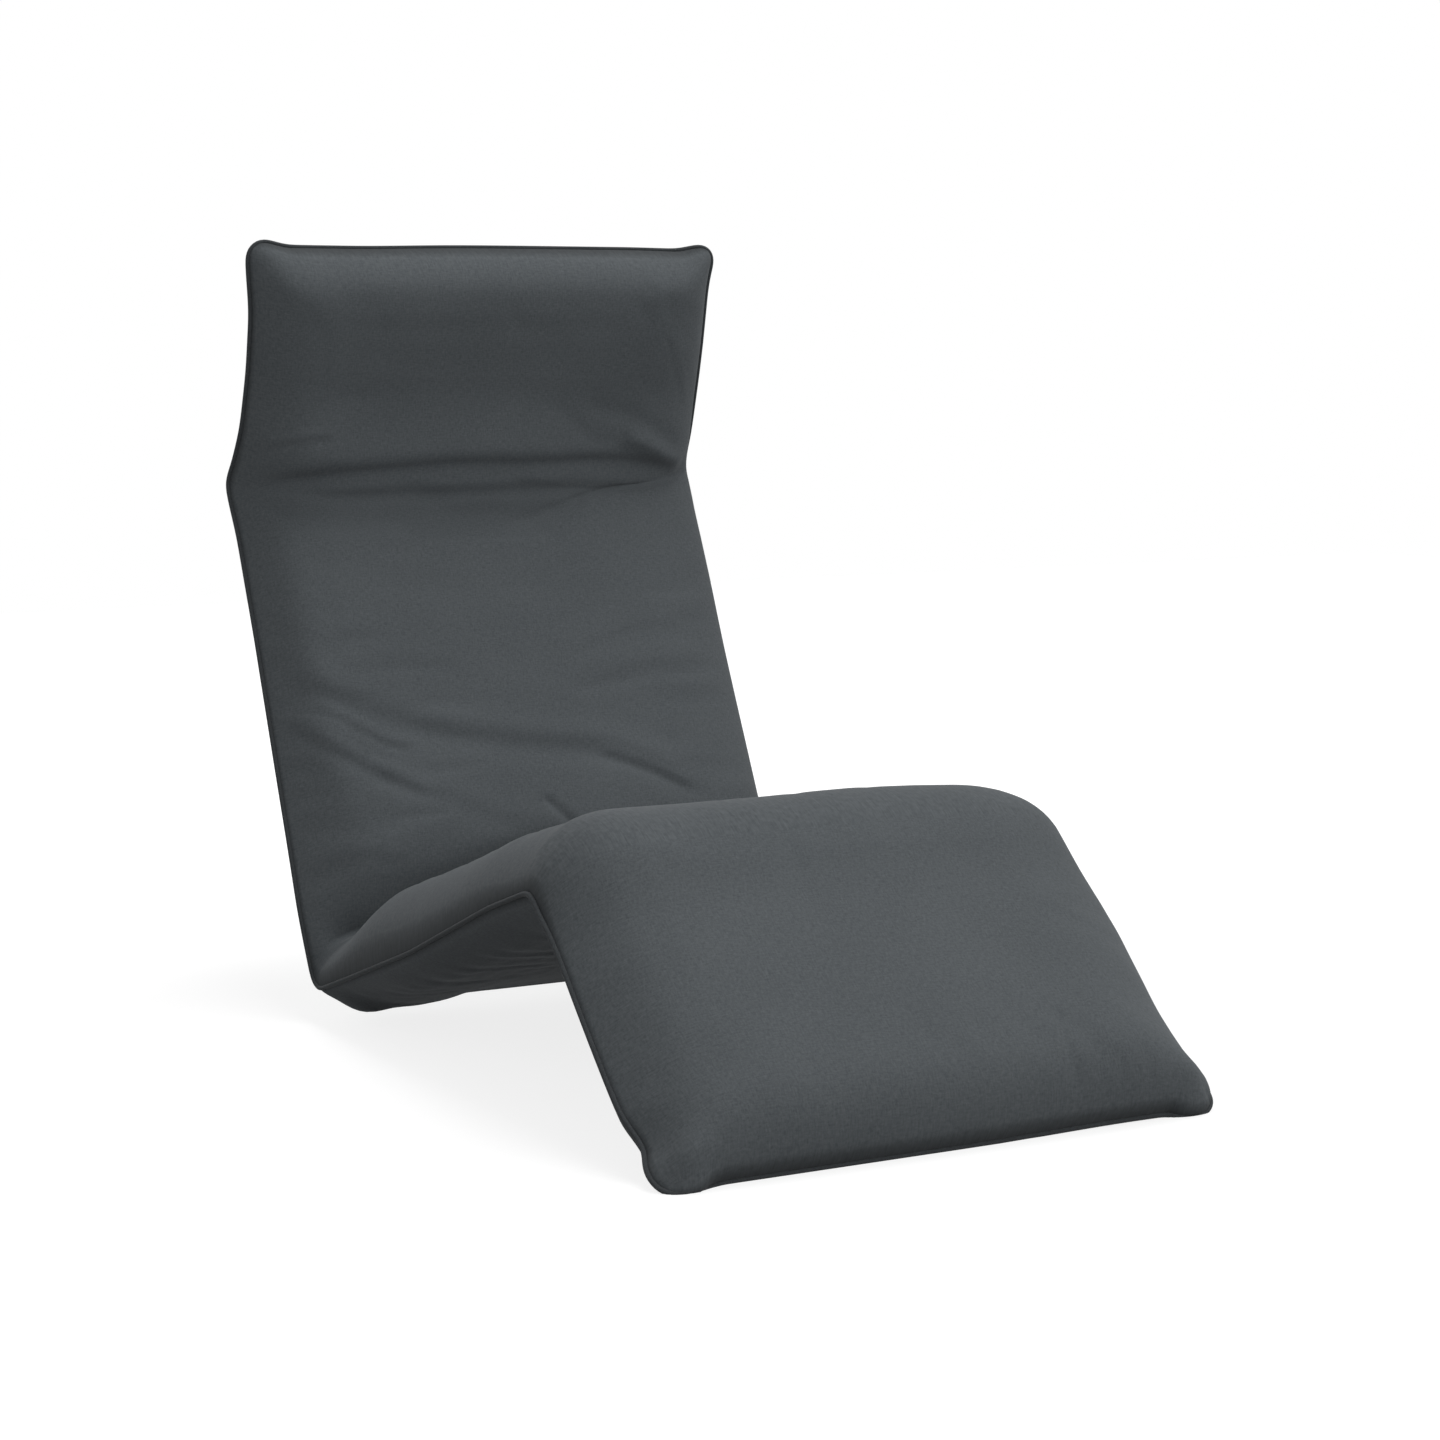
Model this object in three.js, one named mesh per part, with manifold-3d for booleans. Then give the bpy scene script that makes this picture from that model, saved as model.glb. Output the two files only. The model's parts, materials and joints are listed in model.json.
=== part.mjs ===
// A folding floor chair: one long padded cushion sewn in four sections (head, back, seat and leg
// rest). Each section holds a tubular steel frame, and neighbouring frames are joined by a pair of
// ratchet hinges that click from tooth to tooth and stay where they are put.
// Millimetres, +Z up. The sitter faces -Y, and X runs along the hinge axes.
import * as THREE from 'three';
import { mergeVertices } from 'three/addons/utils/BufferGeometryUtils.js';
import Module from 'manifold-3d';

const wasm = await Module();
wasm.setup();

// Driving dimensions of the cushion, measured from hinge axis to hinge axis and from seam to seam
const cushionWidth = 560;
const headLength = 265;
const backLength = 570;
const seatLength = 560;
const legLength = 320;
const crownHeight = 58;
const bellyDepth = 38;
const sideRounding = 62;
const endRounding = 65;
const seamHalf = 2;
const cornerRadius = 28;
const drawIn = 5;
const coverWall = 2;
const pipingRadius = 2.2;

// Driving dimensions of the steelwork
const tubeDiameter = 19;
const tubeWall = 1.2;
const crossBarDiameter = 16;
const frameInset = 48;
const tubeStart = 38;
const bendRadius = 50;
const endBarInset = 52;
const crossBarInset = 85;
const ventRadius = 2.5;
const slingThickness = 1.2;
const slingMargin = 18;

// Ratchet hinges
const toothCount = 60;
const tipRadius = 18;
const toothDepth = 2;
const wheelThickness = 4;
const wheelTangHeight = 14.4;
const tangReach = 80;
const cheekRadius = 22;
const cheekThickness = 2;
const housingTangHeight = 12;
const webHeight = 14;
const webFace = 27.5;
const rivetRadius = 4;
const rivetHeadRadius = 7;
const rivetHeadHeight = 1.6;
const pawlPinRadius = 1.6;
const pawlPinOrbit = 23.5;
const pawlBossWall = 1.7;
const pawlEarWall = 3;
const pawlThickness = 4;
const pawlHeelHeight = 4.6;
const springThickness = 0.6;

// Fold angles, in teeth of the ratchet: as the chair stands, and closed as far as the foam allows
const folds = {
  neck: { restTeeth: 7, closedTeeth: 15 },
  hip: { restTeeth: 14, closedTeeth: 23 },
  knee: { restTeeth: 10, closedTeeth: 25 },
};
const toothPitch = (2 * Math.PI) / toothCount;

// Clearances
const gap = 0.3;
const openingGap = 0.8;
const closingGap = 0.6;
const foldRadius = 30;
const pocketClearance = 1;
const heelSettle = 3.5;
const footSettle = 1.5;
const overrun = 10;

// Facets: places round a rounded edge as shares of a quarter turn, and across the flat of the cushion
const fineShares = [0, 0.2, 0.42, 0.68, 1];
const plainShares = [0, 0.42, 1];
const flatShares = [-0.5, 0, 0.5];
const lengthShares = [0.34, 0.67];
const crownDropShare = 0.06;
const liningSeamShare = 0.5;
const tubeSides = 12;
const barSides = 10;
const cordSides = 8;
const bendSteps = 5;
const roundSides = 24;
const backSteps = 5;

const cutReach = 5 * (crownHeight + bellyDepth);
const cutWidth = cushionWidth + 2 * (overrun + 2 * pipingRadius);

// Materials
const coverFabric = new THREE.MeshStandardMaterial({ color: 0x4d5255, roughness: 0.95, metalness: 0 });
const pipingFabric = new THREE.MeshStandardMaterial({ color: 0x17191b, roughness: 0.9, metalness: 0 });
const slingFabric = new THREE.MeshStandardMaterial({ color: 0x2c2e30, roughness: 0.95, metalness: 0 });
const softFoam = new THREE.MeshStandardMaterial({ color: 0xd9d2b4, roughness: 1, metalness: 0 });
const blackTube = new THREE.MeshStandardMaterial({ color: 0x1b1b1d, roughness: 0.45, metalness: 0.6 });
const zincSteel = new THREE.MeshStandardMaterial({ color: 0xa9adb0, roughness: 0.35, metalness: 1 });
const springSteel = new THREE.MeshStandardMaterial({ color: 0x5c6166, roughness: 0.3, metalness: 1 });

// Solids: geometry in, boolean body, geometry out
function solid(geometry) {
  const bare = geometry.clone();
  bare.deleteAttribute('normal');
  bare.deleteAttribute('uv');
  const welded = mergeVertices(bare);
  const corners = welded.index.array;
  const kept = [];
  for (let i = 0; i < corners.length; i += 3) {
    const [a, b, c] = corners.slice(i, i + 3);
    if (a !== b && b !== c && c !== a) kept.push(a, b, c);
  }
  return new wasm.Manifold(new wasm.Mesh({
    numProp: 3,
    vertProperties: new Float32Array(welded.attributes.position.array),
    triVerts: new Uint32Array(kept),
  }));
}

function surfaceOf(body) {
  const { vertProperties, triVerts } = body.getMesh();
  const geometry = new THREE.BufferGeometry();
  geometry.setAttribute('position', new THREE.BufferAttribute(vertProperties, 3));
  geometry.setIndex(new THREE.BufferAttribute(triVerts, 1));
  geometry.computeVertexNormals();
  return geometry;
}

function moved(body, matrix) {
  return solid(surfaceOf(body).applyMatrix4(matrix));
}

function union(bodies) {
  return bodies.reduce((whole, body) => whole.add(body));
}

function block(x, y, z) {
  const size = [x, y, z].map(([low, high]) => high - low);
  const middle = [x, y, z].map(([low, high]) => (high + low) / 2);
  return solid(new THREE.BoxGeometry(...size).translate(...middle));
}

// A rod along X, centred on the hinge axis unless it is moved
function rodX(radius, width, sides, y = 0, z = 0) {
  return solid(new THREE.CylinderGeometry(radius, radius, width, sides).rotateZ(Math.PI / 2).translate(0, y, z));
}

// A plate in the YZ plane: the outline's points are (y, z), and it is centred on X = 0
function plate(outline, thickness) {
  const across = new THREE.Matrix4().set(0, 0, 1, -thickness / 2, 1, 0, 0, 0, 0, 1, 0, 0, 0, 0, 0, 1);
  const shape = new THREE.Shape(outline.map(([y, z]) => new THREE.Vector2(y, z)));
  return solid(new THREE.ExtrudeGeometry(shape, { depth: thickness, bevelEnabled: false }).applyMatrix4(across));
}

function polar(radius, angle) {
  return [radius * Math.cos(angle), radius * Math.sin(angle)];
}

function arc(radius, from, to, steps, centre = [0, 0]) {
  return Array.from({ length: steps + 1 }, (_, i) => {
    const [y, z] = polar(radius, from + ((to - from) * i) / steps);
    return [centre[0] + y, centre[1] + z];
  });
}

function degrees(angle) {
  return (angle * Math.PI) / 180;
}

// A path with one ring of the swept tube at each station, so straights need no rings between
class StationPath extends THREE.Curve {
  constructor(stations) {
    super();
    this.stations = stations;
  }

  getPointAt(t) {
    const place = t * (this.stations.length - 1);
    const before = Math.min(Math.floor(place + 1e-9), this.stations.length - 2);
    return this.stations[before].clone().lerp(this.stations[before + 1], place - before);
  }

  getTangentAt(t) {
    const at = Math.round(t * (this.stations.length - 1));
    const last = this.stations.length - 1;
    const here = this.stations[at];
    const into = at > 0 ? here.clone().sub(this.stations[at - 1]).normalize() : new THREE.Vector3();
    const out = at < last ? this.stations[at + 1].clone().sub(here).normalize() : new THREE.Vector3();
    return into.add(out).normalize();
  }
}

function circle(radius, sides) {
  return Array.from({ length: sides }, (_, i) => {
    const angle = (2 * Math.PI * (i + 0.5)) / sides;
    return new THREE.Vector2(radius * Math.cos(angle), radius * Math.sin(angle));
  });
}

function sweep(stations, radius, sides) {
  const path = new StationPath(stations);
  const section = new THREE.Shape(circle(radius, sides));
  return solid(new THREE.ExtrudeGeometry(section, { steps: stations.length - 1, extrudePath: path }));
}

// The four sections. Each runs from its hinge axis (s = 0) along +Y or -Y (way); a free end is
// closed and rounded, and an open end meets the next section at another hinge axis.
const sections = {
  head: { length: headLength, way: 1, free: true },
  back: { length: backLength, way: 1, free: false },
  seat: { length: seatLength, way: -1, free: false },
  leg: { length: legLength, way: -1, free: true },
};

// Across the cushion: places from seam to seam, with the height there as a share of the full height
function acrossStations(inset, shares) {
  const half = cushionWidth / 2 - inset;
  const flat = half - sideRounding;
  const rim = shares.map((share) => {
    const turn = (share * Math.PI) / 2;
    return { x: half - sideRounding * (1 - Math.cos(turn)), height: Math.sin(turn) };
  });
  const left = rim.map(({ x, height }) => ({ x: -x, height }));
  const middle = flatShares.map((share) => ({ x: share * 2 * flat, height: 1 }))
    .filter(({ x }) => Math.abs(x) < flat);
  return [...left, ...middle, ...rim.reverse()];
}

function crownShareAt(x) {
  return 1 - crownDropShare * (2 * x / cushionWidth) ** 2;
}

function alongStations(section, inset, shares, mouthReach) {
  const { length, free } = section;
  const mouth = mouthReach ? [{ s: -mouthReach, height: 1 }, { s: 0, height: 1 }] : [{ s: 0, height: 1 }];
  if (!free) return [...mouth, { s: length + mouthReach, height: 1 }];
  const end = length - inset;
  const flat = lengthShares.map((share) => ({ s: share * (length - endRounding), height: 1 }));
  const rim = shares.map((share) => {
    const turn = (share * Math.PI) / 2;
    return { s: end - endRounding * (1 - Math.cos(turn)), height: Math.sin(turn) };
  });
  return [...mouth, ...flat, ...rim.reverse()];
}

// Plan view: free corners are rounded to ears, and the edges between them are drawn in
function planPoint(section, x, s, inset) {
  if (!section.free) return [x, s];
  const half = cushionWidth / 2 - inset;
  const end = section.length - inset;
  const corner = cornerRadius - inset;
  const a = THREE.MathUtils.clamp((Math.abs(x) - half + corner) / corner, 0, 1);
  const b = THREE.MathUtils.clamp((s - end + corner) / corner, 0, 1);
  const across = Math.abs(x) - corner * a * (1 - Math.sqrt(1 - (b * b) / 2));
  const along = s - corner * b * (1 - Math.sqrt(1 - (a * a) / 2));
  const waist = Math.sin(Math.PI * THREE.MathUtils.clamp(s / section.length, 0, 1));
  const narrowed = across * (1 - (2 * drawIn * waist) / cushionWidth);
  const shortened = along * (1 - (drawIn / section.length) * Math.cos((Math.PI * x) / cushionWidth));
  return [Math.sign(x) * narrowed, shortened];
}

// A closed skin over rows and columns of points, one layer above the other
function layeredSolid(rows, columns, pointAt, flipped) {
  const positions = [];
  for (const side of [1, -1]) {
    for (let row = 0; row < rows; row += 1) {
      for (let column = 0; column < columns; column += 1) positions.push(...pointAt(side, row, column));
    }
  }
  const at = (layer, row, column) => (layer * rows + row) * columns + column;
  const faces = [];
  const quad = (a, b, c, d) => faces.push(a, b, c, a, c, d);
  for (let r = 0; r < rows - 1; r += 1) {
    for (let c = 0; c < columns - 1; c += 1) {
      quad(at(0, r, c), at(0, r, c + 1), at(0, r + 1, c + 1), at(0, r + 1, c));
      quad(at(1, r, c), at(1, r + 1, c), at(1, r + 1, c + 1), at(1, r, c + 1));
    }
    quad(at(0, r, 0), at(0, r + 1, 0), at(1, r + 1, 0), at(1, r, 0));
    quad(at(0, r + 1, columns - 1), at(0, r, columns - 1), at(1, r, columns - 1), at(1, r + 1, columns - 1));
  }
  for (let c = 0; c < columns - 1; c += 1) {
    quad(at(0, 0, c + 1), at(0, 0, c), at(1, 0, c), at(1, 0, c + 1));
    quad(at(0, rows - 1, c), at(0, rows - 1, c + 1), at(1, rows - 1, c + 1), at(1, rows - 1, c));
  }
  if (flipped) faces.reverse();
  const geometry = new THREE.BufferGeometry();
  geometry.setAttribute('position', new THREE.Float32BufferAttribute(positions, 3));
  geometry.setIndex(faces);
  return solid(geometry);
}

// Half-thickness of the cushion on one side of the seam's plane, where its edges leave it a share
function halfThickness(side, x, share, inset = 0) {
  const full = side > 0 ? (crownHeight - inset) * crownShareAt(x) : bellyDepth - inset;
  const seam = seamHalf * (inset > 0 ? liningSeamShare : 1);
  return seam + (full - seam) * share;
}

// The cushion's own shape: crowned on top, flatter below, falling to a thin seam at its edges
function pillow(section, { inset = 0, shares = fineShares, mouthReach = 0 } = {}) {
  const across = acrossStations(inset, shares);
  const along = alongStations(section, inset, shares, mouthReach);
  const pointAt = (side, row, column) => {
    const { x, height } = across[column];
    const [px, ps] = planPoint(section, x, along[row].s, inset);
    return [px, section.way * ps, side * halfThickness(side, x, height * along[row].height, inset)];
  };
  return layeredSolid(along.length, across.length, pointAt, section.way < 0);
}

// What a fold takes out of one of its two sections. The section lies way-wards of the axis: it ends
// square on the side that opens and slopes away on the side that closes.
function foldPrism(fold, way, slack) {
  const lean = (fold.closedTeeth * toothPitch) / 2;
  const open = openingGap - slack;
  const close = closingGap - slack;
  const cornerZ = (open * Math.cos(lean) - close) / Math.sin(lean);
  const top = cornerZ + cutReach * Math.cos(lean);
  const outline = [
    [way * open, -fold.side * cutReach],
    [way * open, fold.side * cornerZ],
    [way * (open + cutReach * Math.sin(lean)), fold.side * top],
    [-way * cutReach, fold.side * top],
    [-way * cutReach, -fold.side * cutReach],
  ];
  return plate(outline, cutWidth);
}

// It also clears the hinges all round
function foldCutter(fold, way) {
  return foldPrism(fold, way, 0).add(rodX(foldRadius, cutWidth, roundSides));
}

// The side of the hinge axis that closes: above it at neck and hip, below it at the knee
folds.neck.side = 1;
folds.hip.side = 1;
folds.knee.side = -1;

function at(y) {
  return new THREE.Matrix4().makeTranslation(0, y, 0);
}

// Which folds bound a section, and where their axes lie in its own frame
const ends = {
  head: [{ fold: folds.neck, y: 0, way: 1 }],
  back: [{ fold: folds.hip, y: 0, way: 1 }, { fold: folds.neck, y: backLength, way: -1 }],
  seat: [{ fold: folds.hip, y: 0, way: -1 }, { fold: folds.knee, y: -seatLength, way: 1 }],
  leg: [{ fold: folds.knee, y: 0, way: -1 }],
};

function betweenFolds(name, body) {
  return ends[name].reduce((left, { fold, y, way }) => left.subtract(moved(foldCutter(fold, way), at(y))), body);
}

// The slope of the seat lets both the heel of the chair and its foot settle on the floor
const hipHeight = bellyDepth - heelSettle;
const footDrop = (pitch) => (legLength - drawIn - endRounding) * Math.sin(pitch) + seamHalf * Math.cos(pitch)
  + Math.hypot(endRounding * Math.sin(pitch), (bellyDepth - seamHalf) * Math.cos(pitch));
const kneeTurn = folds.knee.restTeeth * toothPitch;

function solveSlope() {
  let low = 0;
  let high = kneeTurn;
  while (high - low > 1e-7) {
    const slope = (low + high) / 2;
    const footAt = hipHeight + seatLength * Math.sin(slope) - footDrop(kneeTurn - slope) + footSettle;
    if (footAt < 0) low = slope;
    else high = slope;
  }
  return low;
}

const seatSlope = solveSlope();

// Groups: the seat carries the back and the leg rest, and the back carries the head
const chair = new THREE.Group();
const frames = { seat: new THREE.Group(), back: new THREE.Group(), head: new THREE.Group(), leg: new THREE.Group() };
chair.add(frames.seat);
frames.seat.add(frames.back, frames.leg);
frames.back.add(frames.head);
frames.seat.position.z = hipHeight;
frames.seat.rotation.x = -seatSlope;
frames.back.rotation.x = folds.hip.restTeeth * toothPitch;
frames.head.position.y = backLength;
frames.head.rotation.x = folds.neck.restTeeth * toothPitch;
frames.leg.position.y = -seatLength;
frames.leg.rotation.x = kneeTurn;
chair.updateMatrixWorld(true);

function add(name, sectionName, body, material) {
  const mesh = new THREE.Mesh(body.isBufferGeometry ? body : surfaceOf(body), material);
  mesh.name = name;
  frames[sectionName].add(mesh);
  return mesh;
}

// Cut a body that is held in a section's frame flat, this far above the floor
function aboveFloor(sectionName, body, lift = 0) {
  const toSection = frames[sectionName].matrixWorld.clone().invert();
  const depth = cutReach;
  const floor = new THREE.BoxGeometry(cutWidth, 2 * (seatLength + legLength), depth)
    .translate(0, 0, lift - depth / 2).applyMatrix4(toSection);
  return body.subtract(solid(floor));
}

// Frames
const sideX = cushionWidth / 2 - frameInset;
const tubeRadius = tubeDiameter / 2;
const boreRadius = tubeRadius - tubeWall;
const barRadius = crossBarDiameter / 2;

function uStations(section, overrunAtEnds = 0) {
  const start = tubeStart - overrunAtEnds;
  const end = section.length - endBarInset;
  const bend = end - bendRadius;
  const centreX = sideX - bendRadius;
  const right = arc(bendRadius, 0, Math.PI / 2, bendSteps, [centreX, bend]);
  const left = right.map(([x, s]) => [-x, s]).reverse();
  const route = [[sideX, start], ...right, ...left, [-sideX, start]];
  return route.map(([x, s]) => new THREE.Vector3(x, section.way * s, 0));
}

function uTube(section) {
  const outer = sweep(uStations(section), tubeRadius, tubeSides);
  return outer.subtract(sweep(uStations(section, overrun), boreRadius, tubeSides));
}

function rodAlong(section, x, radius, from, to, sides = tubeSides) {
  const stations = [from, to].map((s) => new THREE.Vector3(x, section.way * s, 0));
  return sweep(stations, radius, sides);
}

function barPlaces(section) {
  return [crossBarInset, section.length - crossBarInset].map((s) => section.way * s);
}

function ladder(section) {
  const from = tubeStart;
  const to = section.length - tubeStart;
  const barLength = 2 * (sideX - tubeRadius * Math.cos(Math.PI / tubeSides));
  const tubes = [-sideX, sideX].map((x) => rodAlong(section, x, tubeRadius, from, to));
  const bores = [-sideX, sideX].map((x) => rodAlong(section, x, boreRadius, from - overrun, to + overrun));
  const bars = barPlaces(section).map((y) => rodX(barRadius, 2 * sideX, barSides, y));
  const barBores = barPlaces(section).map((y) => rodX(barRadius - tubeWall, barLength, barSides, y));
  const vents = barPlaces(section).flatMap((y) => [-1, 1].map((side) => solid(
    new THREE.CylinderGeometry(ventRadius, ventRadius, crossBarDiameter, cordSides)
      .rotateX(Math.PI / 2).translate(side * (sideX - tubeDiameter), y, -barRadius),
  )));
  return union([...tubes, ...bars]).subtract(union(bores)).subtract(union([...barBores, ...vents]));
}

// Support slings: cloth stretched over the side tubes and sewn round them in sleeves
const slingBottom = tubeRadius + gap;
const slingTop = slingBottom + slingThickness;

function slingSpan(section) {
  if (!section.free) {
    const margin = crossBarInset + barRadius + gap;
    return [margin, section.length - margin];
  }
  return [tubeStart + slingMargin, section.length - endBarInset - bendRadius];
}

function sling(section) {
  const [from, to] = slingSpan(section);
  const rounding = 1 / Math.cos(Math.PI / tubeSides);
  const ys = [section.way * from, section.way * to].sort((a, b) => a - b);
  const sheet = block([-sideX, sideX], ys, [slingBottom, slingTop]);
  const sleeves = [-sideX, sideX].map((x) => rodAlong(section, x, slingTop * rounding, from, to));
  const room = [-sideX, sideX].map((x) => (
    rodAlong(section, x, slingBottom * rounding, from - overrun, to + overrun)));
  return union([sheet, ...sleeves]).subtract(union(room));
}

// Foam above the sling and a thinner pad below it, channelled for the frame and the sleeves
const foamFloor = slingTop + gap;
const padTop = slingBottom - gap;
const liningInset = coverWall + gap;

function between(body, low, high) {
  const length = 2 * (headLength + backLength + seatLength + legLength);
  return body.intersect(block([-cutWidth / 2, cutWidth / 2], [-length, length], [low, high]));
}

function foam(name) {
  const body = pillow(sections[name], { inset: liningInset, shares: plainShares });
  return betweenFolds(name, between(body, foamFloor, 2 * crownHeight));
}

function channels(section) {
  const rounding = 1 / Math.cos(Math.PI / tubeSides);
  const radius = (slingTop + gap) * rounding;
  if (section.free) return sweep(uStations(section, tubeStart + overrun), radius, tubeSides);
  const sides = [-sideX, sideX].map((x) => rodAlong(section, x, radius, -overrun, section.length + overrun));
  const bars = barPlaces(section).map((y) => rodX(barRadius + gap, 2 * sideX, barSides, y));
  return union([...sides, ...bars]);
}

function pad(name) {
  const body = pillow(sections[name], { inset: liningInset, shares: plainShares });
  const lower = between(body, -2 * bellyDepth, padTop);
  return betweenFolds(name, aboveFloor(name, lower, liningInset).subtract(channels(sections[name])));
}

// Covers: an outer skin over the foam, open toward the folds
function cover(name) {
  const skin = aboveFloor(name, pillow(sections[name]));
  const room = aboveFloor(name, pillow(sections[name], { inset: coverWall, mouthReach: overrun }), coverWall);
  return betweenFolds(name, skin.subtract(room));
}

// Piping: the cord sewn into the seam round the edge
const pipingOffset = gap + pipingRadius;

function pipingEdge(section, side) {
  const stations = [0, section.length].map((s) => new THREE.Vector3(
    side * (cushionWidth / 2 + pipingOffset), section.way * s, 0));
  return sweep(stations, pipingRadius, cordSides);
}

// The seam's own route round a free end, from the open end's right side to its left
function seamRoute(section) {
  const half = cushionWidth / 2;
  const right = alongStations(section, 0, fineShares, 0).map(({ s }) => [half, s]);
  const left = right.map(([x, s]) => [-x, s]).reverse();
  const across = acrossStations(0, fineShares).map(({ x }) => [x, section.length]).reverse().slice(1, -1);
  return [...right, ...across, ...left].map(([x, s]) => planPoint(section, x, s, 0));
}

function outside(route, distance) {
  return route.map(([x, s], i) => {
    const here = new THREE.Vector2(x, s);
    const before = here.clone().sub(new THREE.Vector2(...route[Math.max(i - 1, 0)])).normalize();
    const after = new THREE.Vector2(...route[Math.min(i + 1, route.length - 1)]).sub(here).normalize();
    const along = before.clone().add(after).normalize();
    const mitre = Math.max(along.dot(before), along.dot(after));
    return [x + (along.y * distance) / mitre, s - (along.x * distance) / mitre];
  });
}

function pipingLoop(section) {
  const stations = outside(seamRoute(section), pipingOffset)
    .map(([x, s]) => new THREE.Vector3(x, section.way * s, 0));
  return sweep(stations, pipingRadius, cordSides);
}

// A fold: cover, foam and piping that bend. It fills what its two sections leave as the chair
// stands, with a crease on the side that closes and a round back on the side that opens.
function bentCushion(fold, way) {
  const turn = fold.restTeeth * toothPitch;
  const across = acrossStations(0, fineShares);
  const last = backSteps + 2;
  const pointAt = (side, row, column) => {
    const { x, height } = across[column];
    const thick = halfThickness(side, x, height);
    if (row === 0) return [x, way * cutReach, side * thick];
    if (row === last) {
      const far = new THREE.Vector3(x, -way * cutReach, side * thick);
      return far.applyAxisAngle(new THREE.Vector3(1, 0, 0), turn).toArray();
    }
    if (side === fold.side) return [x, way * thick * Math.tan(turn / 2), side * thick];
    const [y, z] = polar(thick, (side * Math.PI) / 2 + (turn * (row - 1)) / backSteps);
    return [x, y, z];
  };
  return layeredSolid(last + 1, across.length, pointAt, way > 0);
}

function foldBody({ fold, y, parentWay }) {
  const turn = fold.restTeeth * toothPitch;
  const swing = new THREE.Matrix4().makeRotationX(turn);
  const clearOfMains = foldRadius * Math.cos(Math.PI / roundSides) - gap;
  const room = foldPrism(fold, parentWay, gap)
    .intersect(moved(foldPrism(fold, -parentWay, gap), swing))
    .add(rodX(clearOfMains, cutWidth, roundSides));
  const pocketWidth = housingWidth + 2 * (rivetHeadHeight + gap + pocketClearance);
  const pockets = [-sideX, sideX].map((x) => moved(
    rodX(foldRadius + pocketClearance, pocketWidth, roundSides), new THREE.Matrix4().makeTranslation(x, 0, 0)));
  const soft = bentCushion(fold, parentWay).intersect(room).subtract(union(pockets));
  return moved(union([soft, ...foldPiping(parentWay, turn, clearOfMains)]), at(y));
}

function foldPiping(parentWay, turn, reach) {
  const x = cushionWidth / 2 + pipingOffset;
  const bend = 2 * pipingRadius;
  const parentAngle = parentWay > 0 ? 0 : Math.PI;
  const childAngle = parentAngle + Math.PI + turn;
  const inner = bend * Math.cos(Math.PI / 2 - turn / 4) * Math.SQRT1_2;
  const middle = polar(inner, (parentAngle + childAngle) / 2 + (turn > 0 ? 0 : Math.PI));
  const route = [polar(reach, parentAngle), polar(bend, parentAngle), middle, polar(bend, childAngle),
    polar(reach, childAngle)];
  return [-1, 1].flatMap((side) => {
    const stations = route.map(([y, z]) => new THREE.Vector3(side * x, y, z));
    const flangeX = [side * (cushionWidth / 2 - gap), side * x].sort((a, b) => a - b);
    const flanges = [parentAngle, childAngle].map((angle) => moved(
      block(flangeX, [0, reach], [-seamHalf / 2, seamHalf / 2]), new THREE.Matrix4().makeRotationX(angle)));
    return [sweep(stations, pipingRadius, cordSides), ...flanges];
  });
}

// Hinge pieces, drawn in a frame on the hinge axis: the housing's section lies toward -Y, the
// wheel's toward +Y, and the hinge closes toward +Z
const housingWidth = wheelThickness + 2 * (gap + cheekThickness);
const noseAngle = degrees(-100);
const pinAngle = degrees(-140);
const pin = polar(pawlPinOrbit, pinAngle);
const longestTravel = Math.max(...Object.values(folds).map((fold) => fold.closedTeeth));
const rootRadius = tipRadius - toothDepth;
const toothRootShare = 0.1;
const toothTipShare = 0.9;

function ratchetWheel() {
  const tangHalf = wheelTangHeight / 2;
  const tangAngle = Math.asin(tangHalf / tipRadius);
  const teeth = longestTravel + 2;
  const lastGap = noseAngle + 2 * Math.PI + toothPitch;
  const firstGap = lastGap - teeth * toothPitch;
  const outline = [[tangReach, -tangHalf], [tangReach, tangHalf]];
  outline.push(...arc(tipRadius, tangAngle, firstGap - toothPitch / 2, 5));
  for (let k = 0; k < teeth; k += 1) {
    const angle = firstGap + (k - 0.5) * toothPitch;
    outline.push(polar(rootRadius, angle + toothRootShare * toothPitch));
    outline.push(polar(tipRadius, angle + toothTipShare * toothPitch));
  }
  outline.push(...arc(tipRadius, lastGap, 2 * Math.PI - tangAngle, 5));
  return plate(outline, wheelThickness).subtract(rodX(rivetRadius + gap, 2 * wheelThickness, tubeSides));
}

function hingeHousing() {
  const tubeEntry = tubeStart - 2 * gap;
  const half = housingWidth / 2;
  const slot = wheelThickness / 2 + gap;
  const disc = rodX(cheekRadius, housingWidth, roundSides);
  const pawlEar = rodX(pawlPinRadius + pawlEarWall, housingWidth, tubeSides, ...pin);
  const web = block([-half, half], [-tubeEntry, 0], [-webHeight / 2, webHeight / 2]);
  const tang = block([-half, half], [-tangReach, -webFace], [-housingTangHeight / 2, housingTangHeight / 2]);
  const opening = block([-slot, slot], [-webFace, cutReach], [-cutReach, cutReach]);
  const bore = rodX(rivetRadius + gap, 2 * housingWidth, tubeSides);
  const pawlPin = rodX(pawlPinRadius, housingWidth - cheekThickness, cordSides, ...pin);
  return union([disc, pawlEar, web, tang]).subtract(opening).subtract(bore).add(pawlPin);
}

function pivotRivet() {
  const inner = housingWidth / 2 + gap;
  const outer = inner + rivetHeadHeight;
  const half = [[rivetRadius, inner], [rivetHeadRadius, inner], [rivetHeadRadius, inner + rivetHeadHeight / 2],
    [rivetRadius, outer], [0, outer]];
  const profile = [...half.map(([r, x]) => [r, -x]).reverse(), ...half];
  const points = profile.map(([r, x]) => new THREE.Vector2(r, x));
  return solid(new THREE.LatheGeometry(points, tubeSides).rotateZ(-Math.PI / 2));
}

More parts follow.
